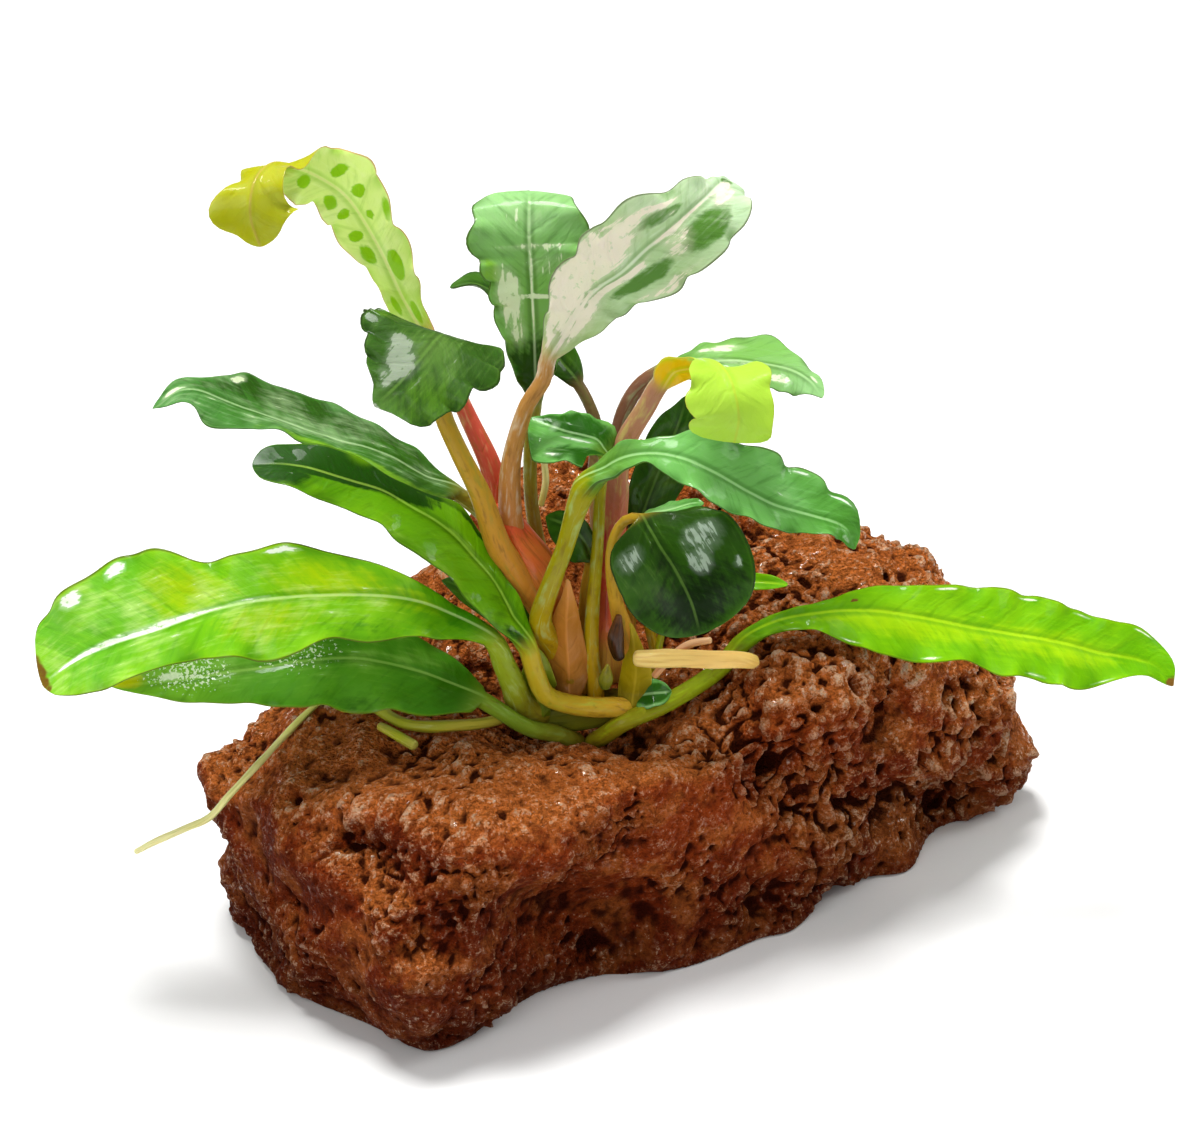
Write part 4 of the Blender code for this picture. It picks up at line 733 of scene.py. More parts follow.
def stem_piece(name, spec, settings, seed):
    """A stem or root as a rolled tube, with shallow lengthwise lines and a rounded end."""
    line, run = smooth_line(spec["path"])
    length = run[-1]
    cut = np.array((0.0, 0.03, 0.1, 0.2))
    at = np.unique(np.concatenate((np.linspace(0, length, max(16, int(length / 0.45))), cut,
                                   length - cut)))
    point = value_at(run, line, at)
    ahead = headings(line, run, at)
    side = unit(np.cross(np.array((0.12, 1.0, 0.2)), ahead))
    up = np.cross(side, ahead)
    radius = eased(run[::PER_SPAN], spec["radius"], at)
    near_end = np.minimum(at, length - at)
    close = np.minimum(radius * 0.6, 0.4)
    radius = (radius * (rounded(np.clip(1 - near_end / close, 0, 1)) + 1e-3))[:, None]
    turn = np.linspace(0, 2 * math.pi, 33)
    turn = np.broadcast_to(turn, (len(at), len(turn)))
    ridge = 1 + settings.ridges * 0.05 * np.sin(5 * turn + 0.15 * at[:, None]) * (radius > 0.6)
    places = point[:, None] + radius[..., None] * ridge[..., None] * (
        side[:, None] * np.cos(turn)[..., None] + up[:, None] * np.sin(turn)[..., None])
    knobbly = rough_field(places, 2.2, seed) * 0.14 * np.minimum(radius, 1.2)
    places = places + unit(places - point[:, None]) * knobbly[..., None]
    places[:, -1] = places[:, 0]
    return rolled_grid(name, places, {
        "along": np.broadcast_to((at / length)[:, None], turn.shape),
        "span": np.stack((np.cos(turn) * radius, np.sin(turn) * radius,
                          np.broadcast_to(at[:, None], turn.shape)), axis=-1),
    })


def stone_reach(directions):
    """Distance from the stone's heart to its rounded flat-sided surface."""
    total = np.zeros(len(directions))
    for normal, distance in STONE_SIDES.values():
        lean = directions @ unit(np.array(normal, float))
        total += (np.clip(lean, 0, None) / distance) ** STONE_ROUNDING
    return total ** (-1 / STONE_ROUNDING)


def neighbour_mean(places, ends, times):
    """Places after each point has moved to the mean of its neighbours a number of times."""
    count = len(places)
    share = np.bincount(ends.ravel(), minlength=count)[:, None]
    for _ in range(times):
        total = np.stack([np.bincount(ends[:, 0], places[ends[:, 1], k], count)
                          + np.bincount(ends[:, 1], places[ends[:, 0], k], count)
                          for k in range(3)], axis=-1)
        places = total / share
    return places


def crumble(places, settings):
    """How far lava at each place stands out of or lies below the smooth block, in millimetres."""
    noise.seed_set(STONE_SEED)
    heights = []
    for x, y, z in places:
        here = Vector((x, y, z))
        warp = noise.noise_vector(here / 2.6)
        bent = here + warp * 1.2
        lobe = 0.5 + 0.5 * math.tanh((x - 19.0 + 0.3 * z) / 6.0)
        region = noise.noise(here / 9.0 + Vector((3.1, 0.4, 9.2)))
        rough = min(1.0, max(0.2, 0.6 + region * 2.2 + 0.4 * lobe))
        lump = sum(height * noise.noise(here / size) for size, height in STONE_LUMPS)
        facet = noise.fractal(here / 1.6, 0.85, 2.1, 2) * settings.facet_height
        grit = noise.fractal(bent / 1.15, 0.7, 2.3, 2) * settings.grit_height * rough
        ridge = abs(noise.noise(bent / 4.2 + Vector((5.0, 1.0, 2.0))))
        gap = max(0.0, 1 - ridge * 8.0) * max(0.0, rough - 0.35)
        spread, points = noise.voronoi(bent / settings.pore_size)
        chance = noise.cell(points[0] * 37.0)
        mouth = 0.1 + (0.16 + 0.16 * lobe) * abs(chance)
        pore = max(0.0, 1 - spread[0] / mouth) if chance > 0.25 - 0.5 * lobe else 0.0
        near = noise.voronoi(bent / (settings.crumb_size * (1.0 + 0.45 * lobe)))[0]
        crumb = (0.45 - min(1.0, near[0] * 1.2) ** 2) * rough
        height = (lump + facet + grit - settings.gap_depth * gap
                  - settings.pore_depth * (1 + 0.5 * lobe) * pore ** 0.6
                  + settings.crumb_height * (0.45 + 1.25 * lobe) * crumb)
        for mouth_at, radius in STONE_HOLES:
            away = (here - Vector(mouth_at) + warp * 0.5).length / radius
            height -= HOLE_DEPTH * max(0.0, 1 - away) ** 0.7
        heights.append(height)
    return np.array(heights)


def stone_piece(settings):
    """The lava block: a divided cube blown out to its sides, swollen and hollowed, then remeshed
    finely and broken up into pores, caves and crumbs."""
    alone()
    bpy.ops.mesh.primitive_cube_add(size=2.0)
    piece = bpy.context.active_object
    piece.name = piece.data.name = "lava_stone_detail"
    edit_all((bpy.ops.mesh.subdivide, {"number_cuts": STONE_CUTS}))
    mesh = piece.data
    directions = unit(np.tan(mesh_places(mesh) * math.pi / 4))
    places = np.array(STONE_HEART) + directions * stone_reach(directions)[:, None]
    for centre, reach, move in STONE_FORMS.values():
        away = (places - np.array(centre)) / np.array(reach)
        places = places + np.array(move) * np.exp(-np.sum(away ** 2, axis=1))[:, None]
    places[:, 2] = np.maximum(places[:, 2], 0.0)
    mesh.vertices.foreach_set("co", (places * MM).ravel())
    remesh = piece.modifiers.new("even", "REMESH")
    remesh.mode = "VOXEL"
    remesh.voxel_size = settings.detail * MM
    bpy.ops.object.modifier_apply(modifier=remesh.name)
    places = mesh_places(mesh) / MM
    off_floor = soft_step(0.0, 1.5, places[:, 2])
    depth = (crumble(places, settings) * off_floor)[:, None]
    places = places + mesh_places(mesh, "normal") * depth
    places[:, 2] = np.maximum(places[:, 2], 0.0)
    mesh.vertices.foreach_set("co", (places * MM).ravel())
    mesh.update()
    ends = np.empty(len(mesh.edges) * 2, int)
    mesh.edges.foreach_get("vertices", ends)
    ends = ends.reshape(-1, 2)
    normals = mesh_places(mesh, "normal")
    marks = {mark: np.sum((neighbour_mean(places, ends, times) - places) * normals, axis=1)
             for mark, times in (("crevice", 5), ("hollow", 45))}
    keep_marks(mesh, {**marks, "upward": neighbour_mean(normals, ends, 6)[:, 2]})
    bpy.ops.object.shade_smooth()
    return piece


def sum_step(operation, swapped=False):
    """A sign of Python's sums, such as + or abs, as one Math node."""
    def add_node(value, *others):
        return value.maths(operation, *((*others, value) if swapped else (value, *others)))
    return add_node


class Value:
    """One output of a shader node. Sums written with it add the Math nodes that they need."""

    def __init__(self, finish, output):
        self.finish = finish
        self.output = output

    def maths(self, operation, *terms, clamp=False):
        return self.finish.node("ShaderNodeMath", {"operation": operation, "use_clamp": clamp},
                                dict(enumerate(terms)))

    def held(self):
        """The value kept between 0 and 1."""
        return self.maths("ADD", self, 0.0, clamp=True)

    __add__, __radd__ = sum_step("ADD"), sum_step("ADD", swapped=True)
    __sub__, __rsub__ = sum_step("SUBTRACT"), sum_step("SUBTRACT", swapped=True)
    __mul__, __rmul__ = sum_step("MULTIPLY"), sum_step("MULTIPLY", swapped=True)
    __truediv__, __mod__ = sum_step("DIVIDE"), sum_step("FLOORED_MODULO")
    __abs__ = sum_step("ABSOLUTE")


class Finish:
    """A material under construction."""

    def __init__(self, name):
        self.material = bpy.data.materials.new(name)
        self.material.use_nodes = True
        self.tree = self.material.node_tree
        self.tree.nodes.clear()

    def node(self, kind, settings=None, inputs=None, output=0):
        """Add one node: its settings first, then the numbers or links of its inputs."""
        made = self.tree.nodes.new(kind)
        for key, value in (settings or {}).items():
            setattr(made, key, value)
        for key, value in (inputs or {}).items():
            socket = made.inputs[key]
            if isinstance(value, Value):
                self.tree.links.new(value.output, socket)
            else:
                socket.default_value = value
        return Value(self, made.outputs[output])

    def mark(self, name, output="Fac"):
        """A number or vector kept on the piece's own points."""
        return self.node("ShaderNodeAttribute", {"attribute_name": name}, output=output)

    def parts(self, vector):
        """The three numbers of a vector."""
        split = self.node("ShaderNodeSeparateXYZ", inputs={0: vector}).output.node.outputs
        return tuple(Value(self, split[k]) for k in range(3))

    def place(self):
        """Object coordinates in millimetres."""
        here = self.node("ShaderNodeTexCoord", output="Object")
        return self.node("ShaderNodeMapping", {"vector_type": "POINT"},
                         {"Vector": here, "Scale": (1 / MM,) * 3})

    def stretched(self, vector, stretch):
        """A vector scaled by three numbers."""
        return self.node("ShaderNodeVectorMath", {"operation": "MULTIPLY"}, {0: vector, 1: stretch})

    def clouds(self, vector, lump, detail=3.0, roughness=0.55):
        """Noise from 0 to 1 with lumps of the given size in millimetres."""
        return self.node("ShaderNodeTexNoise", {"noise_dimensions": "3D"},
                         {"Vector": vector, "Scale": 1.0 / lump, "Detail": detail,
                          "Roughness": roughness})

    def cells(self, vector, size):
        """Distance to the nearest of scattered points that lie about a size apart."""
        return self.node("ShaderNodeTexVoronoi", {"feature": "F1"},
                         {"Vector": vector, "Scale": 1.0 / size}, output="Distance")

    def step(self, value, low, high):
        """0 below low, 1 above high, eased between."""
        return self.node("ShaderNodeMapRange", {"interpolation_type": "SMOOTHSTEP"},
                         {"Value": value, "From Min": low, "From Max": high,
                          "To Min": 0.0, "To Max": 1.0})

    def fall(self, value, low, high):
        """1 below low, 0 above high, eased between."""
        return 1.0 - self.step(value, low, high)

    def layers(self, base, *laid):
        """Colours laid over a base one after another, each by its own factor."""
        for factor, colour in laid:
            base = self.node("ShaderNodeMix", {"data_type": "RGBA", "clamp_factor": True},
                             {0: factor, 6: base, 7: colour}, output=2)
        return base

    def bump(self, height, depth):
        """A bump whose full height is the given depth in millimetres."""
        return self.node("ShaderNodeBump",
                         inputs={"Height": height, "Distance": depth * MM, "Strength": 1.0})

    def done(self, fixed, colour, roughness, **varied):
        """Close the material: fixed numbers stay on the shader, varied values are linked."""
        shader = self.node("ShaderNodeBsdfPrincipled", inputs={
            **fixed, "Base Color": colour, "Roughness": roughness,
            **{key.replace("_", " ").title(): value for key, value in varied.items()}})
        out = self.tree.nodes.new("ShaderNodeOutputMaterial")
        self.tree.links.new(shader.output, out.inputs["Surface"])
        return self.material


def leaf_finish(name, colours, settings):
    """Living leaf: mottled blade, pale midrib, painted reflection and glints as silvery streaks and
    patches, painted light on the crests of the margin waves and painted shade in their troughs, thin
    darker margin.
    """
    make = Finish(name)
    shade = {key: screen(value) for key, value in colours.items()}
    mottle, dark = shade["mottle"], shade["dark"]
    along, across, crest = make.mark("along"), abs(make.mark("across")), make.mark("crest")
    span = make.mark("span", output="Vector")
    out, run, _face = make.parts(span)
    out = abs(out)
    spot = make.place()
    cloud = make.clouds(spot, 5.5)
    speckle = make.clouds(spot, 0.8)
    grain = make.clouds(spot, 0.3, 2.0)
    streak = make.clouds(make.stretched(span, (1.9, 0.3, 1.0)), 1.0, 3.0, 0.6)
    sloped = run - out * VEIN_SLANT
    vein_way = make.node("ShaderNodeCombineXYZ", inputs={0: sloped, 1: out * 0.3})
    creases = make.clouds(vein_way, 1.0, 4.0, 0.6)
    ragged = (creases - 0.5) * 0.7 + (speckle - 0.5) * 0.25 + (streak - 0.5) * 0.5

    line = abs(((sloped / VEIN_SPACING + (cloud - 0.5) * 1.4) % 1.0) - 0.5)
    vein = make.fall(line, 0.02, 0.13) * make.fall(across, 0.6, 0.95)
    midrib = make.fall(out, 0.05, 0.2)
    beside = make.step(out, 0.1, 0.25) * make.fall(out, 0.3, 0.75)
    fade = make.fall(along, 0.82, 1.0)
    rim = make.step(across, 0.93, 0.965) * make.fall(across, 0.975, 0.99)
    pale, sheen = make.mark("pale"), make.mark("gloss_and_painted_sheen")
    # Painted reflection: a soft veil and crisp-edged patches where the pale marks lie.
    veil = make.step(pale + ragged * 0.7, 0.15, 0.8)
    patch = make.step(pale * 0.75 + (streak - 0.5) * 1.2 + (speckle - 0.5) * 0.3, 0.42, 0.52)
    # Painted sheen: a pale haze, and crisp pale lines that also lower the roughness, strongest where the
    # blade is marked for them.
    haze = make.step(sheen * 0.4 + streak * 0.8 + (cloud - 0.5) * 0.8, 0.5, 1.0)
    gloss_and_painted_sheen = make.step(sheen * 0.12 + streak + (speckle - 0.5) * 0.3, 0.75, 0.85)
    # Painted glints on the fine grain, more where the blade is marked for them.
    spark = make.step(make.mark("spark") * 0.3 + grain, 0.8, 0.86)
    # Painted highlights on the crests of the margin waves.
    painted_crest_highlights = make.step(crest * 0.5 + (creases - 0.5), 0.66, 0.74)
    # All painted reflection, sheen and glints together; this also makes the blade a little smoother and
    # adds coat.
    silver_and_painted_reflection = (veil * 0.3 + patch * (0.3 + cloud * 0.7) + gloss_and_painted_sheen * 0.6 + spark * 0.9
              + painted_crest_highlights * 0.6).held()
    flecks = make.fall(speckle, 0.34, 0.4) * 0.5

    lower = make.layers(shade["under"],
                        (make.step(cloud, 0.4, 0.7) * 0.1, mottle),
                        (midrib * 0.25, shade["edge"]))
    blade = make.layers(
        shade["foot"],
        (make.step(along, 0.0, 0.35), shade["middle"]),
        (make.step(along, 0.55, 1.0), shade["tip"]),
        (make.step(cloud, 0.45, 0.7) * 0.6, mottle),
        (make.step(streak, 0.5, 0.72) * 0.35, mottle),
        (make.step(creases, 0.5, 0.75) * 0.14, mottle),
        (make.fall(creases, 0.28, 0.5) * 0.34, dark),
        (make.step(make.mark("dark") + ragged, 0.25, 0.62), dark),
        (make.step(make.mark("warm") + ragged, 0.2, 0.9), shade["warm"]),
        # Painted shade in the troughs of the margin waves and painted light on their crests.
        (make.step(0.0 - crest, 0.15, 0.9) * 0.6, dark),
        (make.step(crest, 0.2, 1.0) * 0.45, mottle),
        (beside * fade * 0.4, dark),
        (midrib * fade * 0.5, shade["vein"]),
        (rim * 0.35, mottle),
        # Painted sheen and painted reflection, broken by flecks.
        (haze * 0.5, shade["vein"]),
        (silver_and_painted_reflection - flecks * silver_and_painted_reflection, shade["pale"]),
        (make.step(across, 0.95, 0.985) * 0.8, shade["edge"]),
        (make.step(make.mark("brown") + ragged, 0.3, 0.7), shade["brown"]),
        (make.step(make.mark("under"), 0.3, 0.7), lower))
    colour = make.layers(
        shade["stalk_foot"],
        (make.step(along, -1.0, -0.25), shade["stalk_top"]),
        (make.step(streak, 0.5, 0.72) * 0.35, shade["vein"]),
        (make.fall(streak, 0.3, 0.46) * 0.45, shade["brown"]),
        (make.step(speckle, 0.62, 0.8) * 0.25, shade["edge"]),
        (make.step(along, -0.04, 0.07), blade))

    bumps = speckle * 0.35 + grain * 0.2 + streak * 0.6 + creases * 1.6 - vein * 0.5
    return make.done({"IOR": 1.4, "Specular IOR Level": 0.12, "Coat Roughness": 0.04,
                      "Coat IOR": 1.4, "Subsurface Weight": 0.12,
                      "Subsurface Radius": (0.5, 1.0, 0.2), "Subsurface Scale": 0.0012},
                     colour, 0.5 + (speckle - 0.5) * 0.3 - silver_and_painted_reflection * 0.1,
                     coat_weight=(0.12 + (cloud - 0.45) * 1.6 + silver_and_painted_reflection * 0.3).held(),
                     normal=make.bump(bumps, settings.relief))


def stem_finish(name, colours, settings):
    """Fleshy stem or root: colour runs from foot to top, with fine lengthwise lines."""
    make = Finish(name)
    foot, middle, top, lines = (screen(c) for c in colours)
    spot = make.place()
    cloud = make.clouds(spot, 3.0)
    grain = make.clouds(spot, 0.3, 2.0)
    streak = make.clouds(make.stretched(make.mark("span", "Vector"), (3.2, 3.2, 0.22)), 1.0)
    wander = make.mark("along") + (cloud - 0.5) * 0.5
    colour = make.layers(foot,
                         (make.step(wander, 0.1, 0.5), middle),
                         (make.step(wander, 0.55, 0.95), top),
                         (make.step(streak, 0.48, 0.7) * 0.6, lines),
                         (make.step(cloud, 0.6, 0.8) * 0.3, foot))
    return make.done({"IOR": 1.4, "Specular IOR Level": 0.2, "Coat Roughness": 0.06,
                      "Subsurface Weight": 0.15,
                      "Subsurface Radius": (1.0, 0.6, 0.3), "Subsurface Scale": 0.0012},
                     colour, 0.34 + (streak - 0.5) * 0.2,
                     coat_weight=(0.2 + (cloud - 0.5) * 1.2).held(),
                     normal=make.bump(streak + grain * 0.3, settings.relief * 1.4))


def lava_finish(name, settings):
    """Wet red-brown lava: orange-brown walls and fine crumbs, with painted shade that darkens pores,
    crevices, hollows, steep sides and the lower part, painted light on up-facing faces and the right-hand
    lobe, and painted highlights and tiny glints on raised crumbs.
    """
    make = Finish(name)
    crevice, hollow, upward = make.mark("crevice"), make.mark("hollow"), make.mark("upward")
    rust, brown, orange, crumb, shadow, glint = (
        (*getattr(settings, c), 1.0)
        for c in ("rust", "brown", "orange", "crumb", "shadow", "glint"))
    spot = make.place()
    rightward, _y, height = make.parts(spot)
    regions = make.clouds(spot, 14.0)
    patches = make.clouds(spot, 5.0, 4.0, 0.6)
    clumps = make.clouds(spot, 1.5, 5.0, 0.7)
    grains = make.clouds(spot, 0.5, 4.0, 0.7)
    specks = make.clouds(spot, 0.24, 2.0, 0.5)
    lobe = make.step(rightward, 14.0, 30.0)
    past_nose = make.step(rightward, -14.0, 8.0)
    # Painted light falls on up-facing faces and on the right-hand lobe.
    top = make.step(upward + (clumps - 0.5) * 0.8 + lobe * 0.42, 0.3, 0.9)
    # Painted shade on steep sides, less of it right of the nose.
    steep = make.fall(upward + (patches - 0.5) * 0.9, -0.2, 0.55)
    # Raised crumbs take painted highlights, stronger on the lit tops.
    raised = make.step((clumps - 0.5) * 0.6 + (grains - 0.5) * 0.9 - crevice * 0.7, 0.04, 0.24)
    # Painted shade in crevices and hollows.
    sunk = make.step(crevice + hollow * 0.4 + (grains - 0.5) * 0.14, 0.02, 0.36)
    # Tiny painted glints on raised grains, none in the painted shade of crevices.
    bright = make.step(specks + (grains - 0.5) * 0.7 + (clumps - 0.5) * 0.5 - crevice * 0.6,
                       0.7, 0.77) * (1.0 - sunk)
    wet = make.step(grains + (clumps - 0.5) * 0.6, 0.56, 0.66) - sunk
    base = make.layers(
        rust,
        (make.step(regions, 0.4, 0.6) * 0.9, brown),
        (make.step(patches, 0.46, 0.62) * 0.5, orange),
        # Painted light: the lit tops turn orange.
        (top * 0.75, orange),
        # Painted shade in the low spots of the crumb and grain relief.
        (make.fall(clumps, 0.36, 0.5) * 0.42, shadow),
        (make.fall(grains, 0.36, 0.5) * 0.48, shadow),
        # Painted highlights on raised crumbs.
        (raised * (0.26 + top * 0.58), crumb),
        # Painted shade on steep sides.
        (steep * (0.42 - past_nose * 0.34), shadow),
        # Painted shade, darker towards the bottom.
        (make.fall(height, 0.0, 16.0) * 0.45, shadow),
        # Painted shade in crevices and hollows.
        (sunk * 0.94, shadow),
        # Painted glints, stronger on the lit tops.
        (bright * (0.36 + top * 0.58), glint))
    relief = (clumps + grains * 1.6 + specks * 0.5 - make.cells(spot, 0.7) * 0.8
              - make.cells(spot, 0.35) * 0.6)
    return make.done({"IOR": 1.4, "Coat Roughness": 0.09, "Specular IOR Level": 0.05},
                     base, 0.7 - raised * 0.2 + sunk * 0.2,
                     coat_weight=(wet * (0.45 + top * 0.55)).held(),
                     normal=make.bump(relief, settings.grain))


def floor_finish(name, settings):
    """Plain pale floor with the faintest unevenness."""
    make = Finish(name)
    haze = make.clouds(make.place(), 120.0, 2.0)
    pale = (*settings.floor_colour, 1.0)
    shade = (*(c * 0.97 for c in settings.floor_colour), 1.0)
    return make.done({"Specular IOR Level": 0.2}, make.layers(pale, (haze, shade)),
                     0.8 + haze * 0.05)


class StoneSizes(bpy.types.PropertyGroup):
    """Sizes and colours of the lava block."""

    detail: FloatProperty(name="Detail", description="Spacing of the stone's mesh in millimetres",
                          default=0.405, min=0.3, max=2.0)
    facet_height: FloatProperty(name="Facet height", default=0.32, min=0.0, max=3.0,
                                description="Height of the broken faces in millimetres")
    grit_height: FloatProperty(name="Grit height", description="Height of the grit in millimetres",
                               default=0.62, min=0.0, max=2.0)
    pore_size: FloatProperty(name="Pore spacing", description="Distance between pores in millimetres",
                             default=3.2, min=0.5, max=10.0)
    pore_depth: FloatProperty(name="Pore depth", description="Depth of a pore in millimetres",
                              default=1.15, min=0.0, max=5.0)
    gap_depth: FloatProperty(name="Gap depth", description="Depth of the gaps in millimetres",
                             default=0.7, min=0.0, max=8.0)
    crumb_size: FloatProperty(name="Crumb size", description="Distance between crumbs in millimetres",
                              default=1.25, min=0.5, max=5.0)
    crumb_height: FloatProperty(name="Crumb height", description="Height of a crumb in millimetres",
                                default=0.8, min=0.0, max=3.0)
    grain: FloatProperty(name="Grain", description="Height of the finest grains in millimetres",
                         default=1.5, min=0.0, max=3.0)
    rust: FloatVectorProperty(name="Rust", description="Main red-brown of the stone",
                              default=(0.50, 0.074, 0.010), subtype="COLOR", min=0.0, max=1.0)
    brown: FloatVectorProperty(name="Brown", description="Darker brown of whole regions",
                               default=(0.32, 0.038, 0.005), subtype="COLOR", min=0.0, max=1.0)
    # Orange also paints light on up-facing faces and the right-hand lobe.
    orange: FloatVectorProperty(name="Orange", description="Orange-brown of broken faces",
                                default=(0.92, 0.26, 0.05), subtype="COLOR", min=0.0, max=1.0)
    crumb: FloatVectorProperty(name="Crumb", description="Paler crumbs that catch the light",
                               default=(1.0, 0.47, 0.22), subtype="COLOR", min=0.0, max=1.0)
    # This colour is painted shade: in pores, crevices and hollows, on steep sides and towards the bottom
    # of the stone.
    shadow: FloatVectorProperty(name="Pore", description="Inside of the pores",
                                default=(0.04, 0.004, 0.001), subtype="COLOR", min=0.0, max=1.0)
    glint: FloatVectorProperty(name="Glint", description="Colour of the tiny wet glints",
                                default=(1.0, 0.64, 0.4), subtype="COLOR", min=0.0, max=1.0)


class LeafSizes(bpy.types.PropertyGroup):
    """Sizes that all leaves share."""

    step: FloatProperty(name="Step", description="Spacing of sections along a blade in millimetres",
                        default=0.42, min=0.2, max=2.0)
    thickness: FloatProperty(name="Half thickness", default=0.15, min=0.05, max=0.5,
                             description="Half thickness of a blade beside its midrib in millimetres")
    ripple: FloatProperty(name="Ripple", description="Share of the margins' waves that is kept",
                          default=1.0, min=0.0, max=2.0)
    unevenness: FloatProperty(name="Unevenness", default=1.0, min=0.0, max=3.0,
                              description="Share of the blades' gentle swelling that is kept")
    relief: FloatProperty(name="Relief", default=0.07, min=0.0, max=0.5,
                          description="Height of veins and skin texture in millimetres")


class StemSizes(bpy.types.PropertyGroup):
    """Sizes that stems and roots share."""

    ridges: FloatProperty(name="Ridges", description="Share of the lengthwise ridges that is kept",
                          default=1.0, min=0.0, max=3.0)
    relief: FloatProperty(name="Relief", default=0.09, min=0.0, max=0.5,
                          description="Height of the skin texture in millimetres")


class StageSizes(bpy.types.PropertyGroup):
    """Floor, lamps and camera."""

    floor_colour: FloatVectorProperty(name="Floor", description="Colour of the floor",
                                      default=(0.9, 0.9, 0.89), subtype="COLOR", min=0.0, max=1.0)
    overhead: FloatProperty(name="Overhead lamp", description="Power of the large lamp overhead",
                            default=6.0, min=0.0, unit="POWER")
    front: FloatProperty(name="Front lamp", description="Power of the soft lamp beside the camera",
                         default=2.0, min=0.0, unit="POWER")
    side: FloatProperty(name="Side lamp", description="Power of the narrow lamp that draws glints",
                        default=1.4, min=0.0, unit="POWER")
    sky: FloatProperty(name="Sky", description="Strength of the even light from all round",
                       default=0.3, min=0.0, max=5.0)
    lens: FloatProperty(name="Lens", description="Focal length of the camera in millimetres",
                        default=120.0, min=20.0, max=300.0)


def settle(piece, material, node=None):
    """Give a finished piece its material, in a new material slot, and its body, and hide the CAD node that
    it stands in for, if it has one.
    """
    piece.data.materials.append(material)
    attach(piece, BODY)
    if node:
        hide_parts(node)


def grow(table, slots, build, finish_of, colours, settings):
    """Build the pieces of a table that have one of the slots, with one material per finish."""
    finishes = {}
    for seed, (name, spec) in enumerate(table.items()):
        slot, finish = spec["slot"], spec["finish"]
        if slot in slots:
            if finish not in finishes:
                finishes[finish] = finish_of(slots[0] + "_" + finish, colours[finish], settings)
            settle(build(name + "_detail", spec, settings, seed), finishes[finish], name)


class PLANT_OT_stone(bpy.types.Operator):
    """Build the block of wet porous lava"""

    bl_idname = "plant.stone"
    bl_label = "Lava stone"

    def execute(self, context):
        settings = context.scene.plant_stone
        settle(stone_piece(settings), lava_finish("wet_lava", settings), "lava_stone")
        return {"FINISHED"}


class PLANT_OT_stems(bpy.types.Operator):
    """Grow the creeping stem, the two shoots with their sheaths, the bud and the old sheath"""

    bl_idname = "plant.stems"
    bl_label = "Stems"

    def execute(self, context):
        grow(STEMS, ("stem", "old_sheath"), stem_piece, stem_finish, STEM_COLOURS,
             context.scene.plant_stems)
        settings = context.scene.plant_leaves
        for seed, (name, spec) in enumerate(SHEATHS.items(), SHEATH_SEED):
            piece = leaf_piece(name, spec, settings, seed)
            finish = spec["finish"]
            settle(piece, leaf_finish(finish, LEAF_COLOURS[finish], settings))
        return {"FINISHED"}


class PLANT_OT_roots(bpy.types.Operator):
    """Grow the roots over the stone"""

    bl_idname = "plant.roots"
    bl_label = "Roots"

    def execute(self, context):
        grow(STEMS, ("root",), stem_piece, stem_finish, STEM_COLOURS, context.scene.plant_stems)
        return {"FINISHED"}


class PLANT_OT_bright_leaves(bpy.types.Operator):
    """Grow the broad bright green leaves"""

    bl_idname = "plant.bright_leaves"
    bl_label = "Bright leaves"

    def execute(self, context):
        grow(LEAVES, ("leaf_bright",), leaf_piece, leaf_finish, LEAF_COLOURS,
             context.scene.plant_leaves)
        return {"FINISHED"}


class PLANT_OT_dark_leaves(bpy.types.Operator):
    """Grow the dark and silvery leaves"""

    bl_idname = "plant.dark_leaves"
    bl_label = "Dark leaves"

    def execute(self, context):
        grow(LEAVES, ("leaf_dark",), leaf_piece, leaf_finish, LEAF_COLOURS,
             context.scene.plant_leaves)
        return {"FINISHED"}


class PLANT_OT_yellow_leaves(bpy.types.Operator):
    """Grow the young yellow leaves"""

    bl_idname = "plant.yellow_leaves"
    bl_label = "Yellow leaves"

    def execute(self, context):
        grow(LEAVES, ("leaf_yellow",), leaf_piece, leaf_finish, LEAF_COLOURS,
             context.scene.plant_leaves)
        return {"FINISHED"}


def lamp(name, place, width, depth, power):
    """A soft rectangular lamp turned towards the middle of the plant."""
    data = bpy.data.lights.new(name, "AREA")
    data.shape = "RECTANGLE"
    data.size = width
    data.size_y = depth
    data.energy = power
    made = bpy.data.objects.new(name, data)
    made.location = place
    aim = Vector(LAMP_AIM) - Vector(place)
    made.rotation_euler = aim.to_track_quat("-Z", "Y").to_euler()
    bpy.context.scene.collection.objects.link(made)


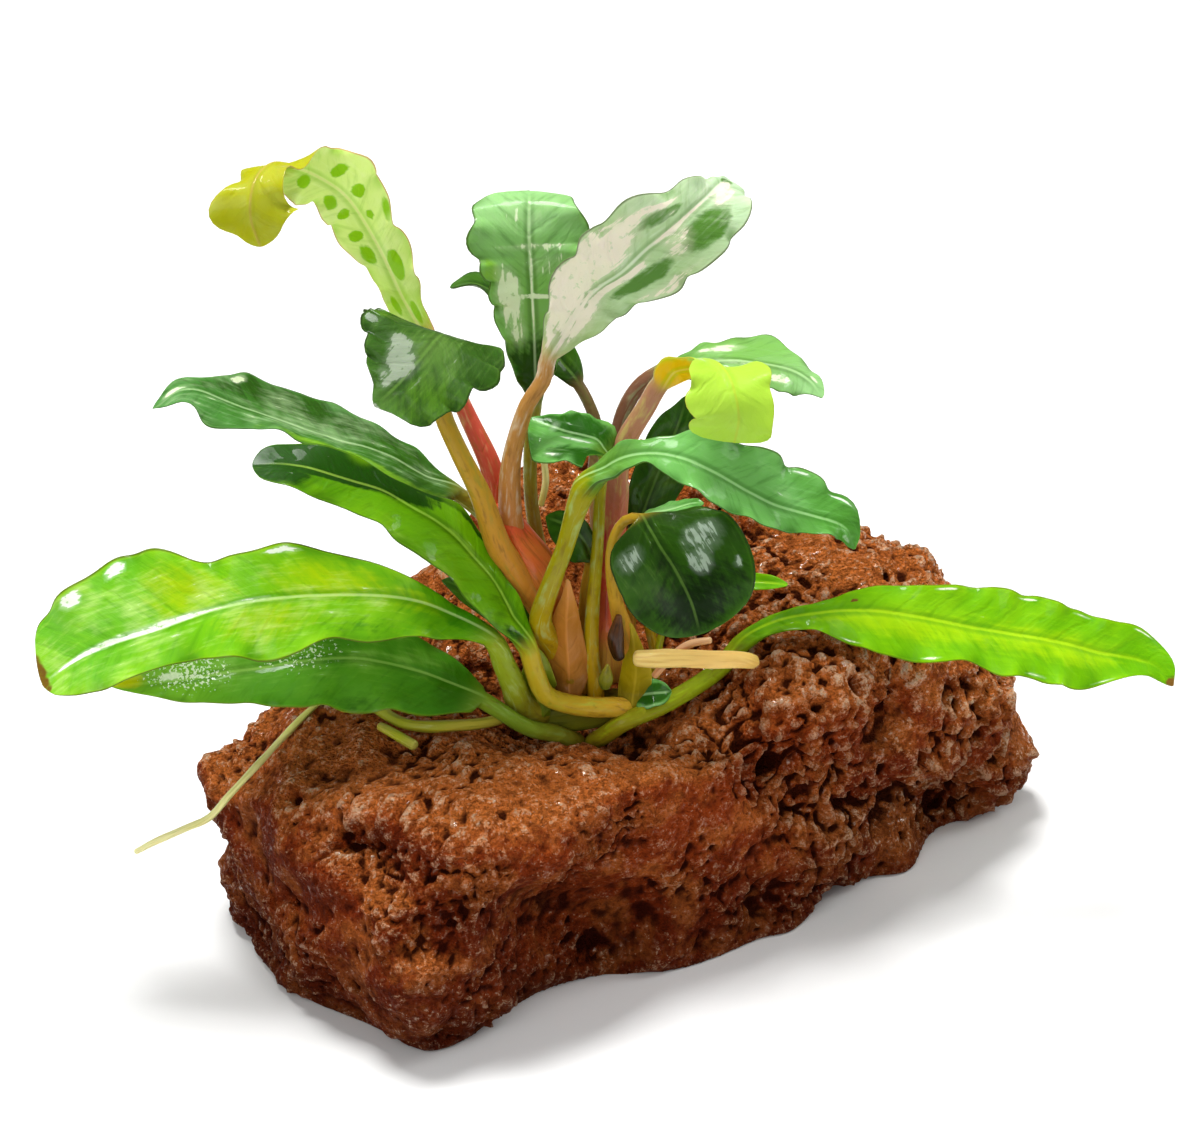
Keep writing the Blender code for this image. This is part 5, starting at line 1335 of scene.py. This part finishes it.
class PLANT_OT_stage(bpy.types.Operator):
    """Lay the pale floor and set up the lamps and the camera"""

    bl_idname = "plant.stage"
    bl_label = "Stage"

    def execute(self, context):
        settings = context.scene.plant_stage
        alone()
        bpy.ops.mesh.primitive_plane_add(size=6.0)
        floor = context.active_object
        floor.name = floor.data.name = "floor"
        floor.data.materials.append(floor_finish("pale_floor", settings))
        lamp("overhead_lamp", (-0.12, 0.1, 0.7), 0.28, 0.2, settings.overhead)
        lamp("front_lamp", (-0.3, -0.6, 0.5), 0.5, 0.5, settings.front)
        lamp("side_lamp", (0.55, 0.1, 0.45), 0.15, 0.5, settings.side)
        world = bpy.data.worlds.new("even_light")
        world.use_nodes = True
        sky = world.node_tree.nodes["Background"]
        sky.inputs["Color"].default_value = (1.0, 1.0, 1.0, 1.0)
        sky.inputs["Strength"].default_value = settings.sky
        context.scene.world = world
        data = bpy.data.cameras.new("camera")
        data.sensor_width = 36.0
        data.lens = settings.lens
        camera = bpy.data.objects.new("camera", data)
        camera.location = CAMERA_PLACE
        camera.rotation_euler = (math.radians(CAMERA_TILT), 0.0, 0.0)
        context.scene.collection.objects.link(camera)
        context.scene.camera = camera
        context.scene.view_settings.view_transform = "Standard"
        return {"FINISHED"}


class PLANT_PT_panel(bpy.types.Panel):
    """Lists the pieces of the plant in the sidebar"""

    bl_idname = "PLANT_PT_panel"
    bl_label = "Bucephalandra on stone"
    bl_space_type = "VIEW_3D"
    bl_region_type = "UI"
    bl_category = "Plant"

    def draw(self, context):
        for operator in OPERATORS:
            self.layout.operator(operator.bl_idname)
        for group in (context.scene.plant_stone, context.scene.plant_leaves,
                      context.scene.plant_stems, context.scene.plant_stage):
            box = self.layout.box()
            for name in group.__annotations__:
                box.prop(group, name)


GROUPS = {"plant_stone": StoneSizes, "plant_leaves": LeafSizes, "plant_stems": StemSizes,
          "plant_stage": StageSizes}
OPERATORS = (PLANT_OT_stone, PLANT_OT_stems, PLANT_OT_roots, PLANT_OT_bright_leaves,
             PLANT_OT_dark_leaves, PLANT_OT_yellow_leaves, PLANT_OT_stage)


def register():
    for group in GROUPS.values():
        bpy.utils.register_class(group)
    for operator in OPERATORS:
        bpy.utils.register_class(operator)
    bpy.utils.register_class(PLANT_PT_panel)
    for name, group in GROUPS.items():
        setattr(bpy.types.Scene, name, PointerProperty(type=group))


def unregister():
    for name in GROUPS:
        delattr(bpy.types.Scene, name)
    bpy.utils.unregister_class(PLANT_PT_panel)
    for operator in reversed(OPERATORS):
        bpy.utils.unregister_class(operator)
    for group in reversed(list(GROUPS.values())):
        bpy.utils.unregister_class(group)


def main():
    register()
    bpy.ops.plant.stage()
    bpy.ops.plant.stone()
    bpy.ops.plant.stems()
    bpy.ops.plant.roots()
    bpy.ops.plant.bright_leaves()
    bpy.ops.plant.dark_leaves()
    bpy.ops.plant.yellow_leaves()


if __name__ == "__main__":
    main()
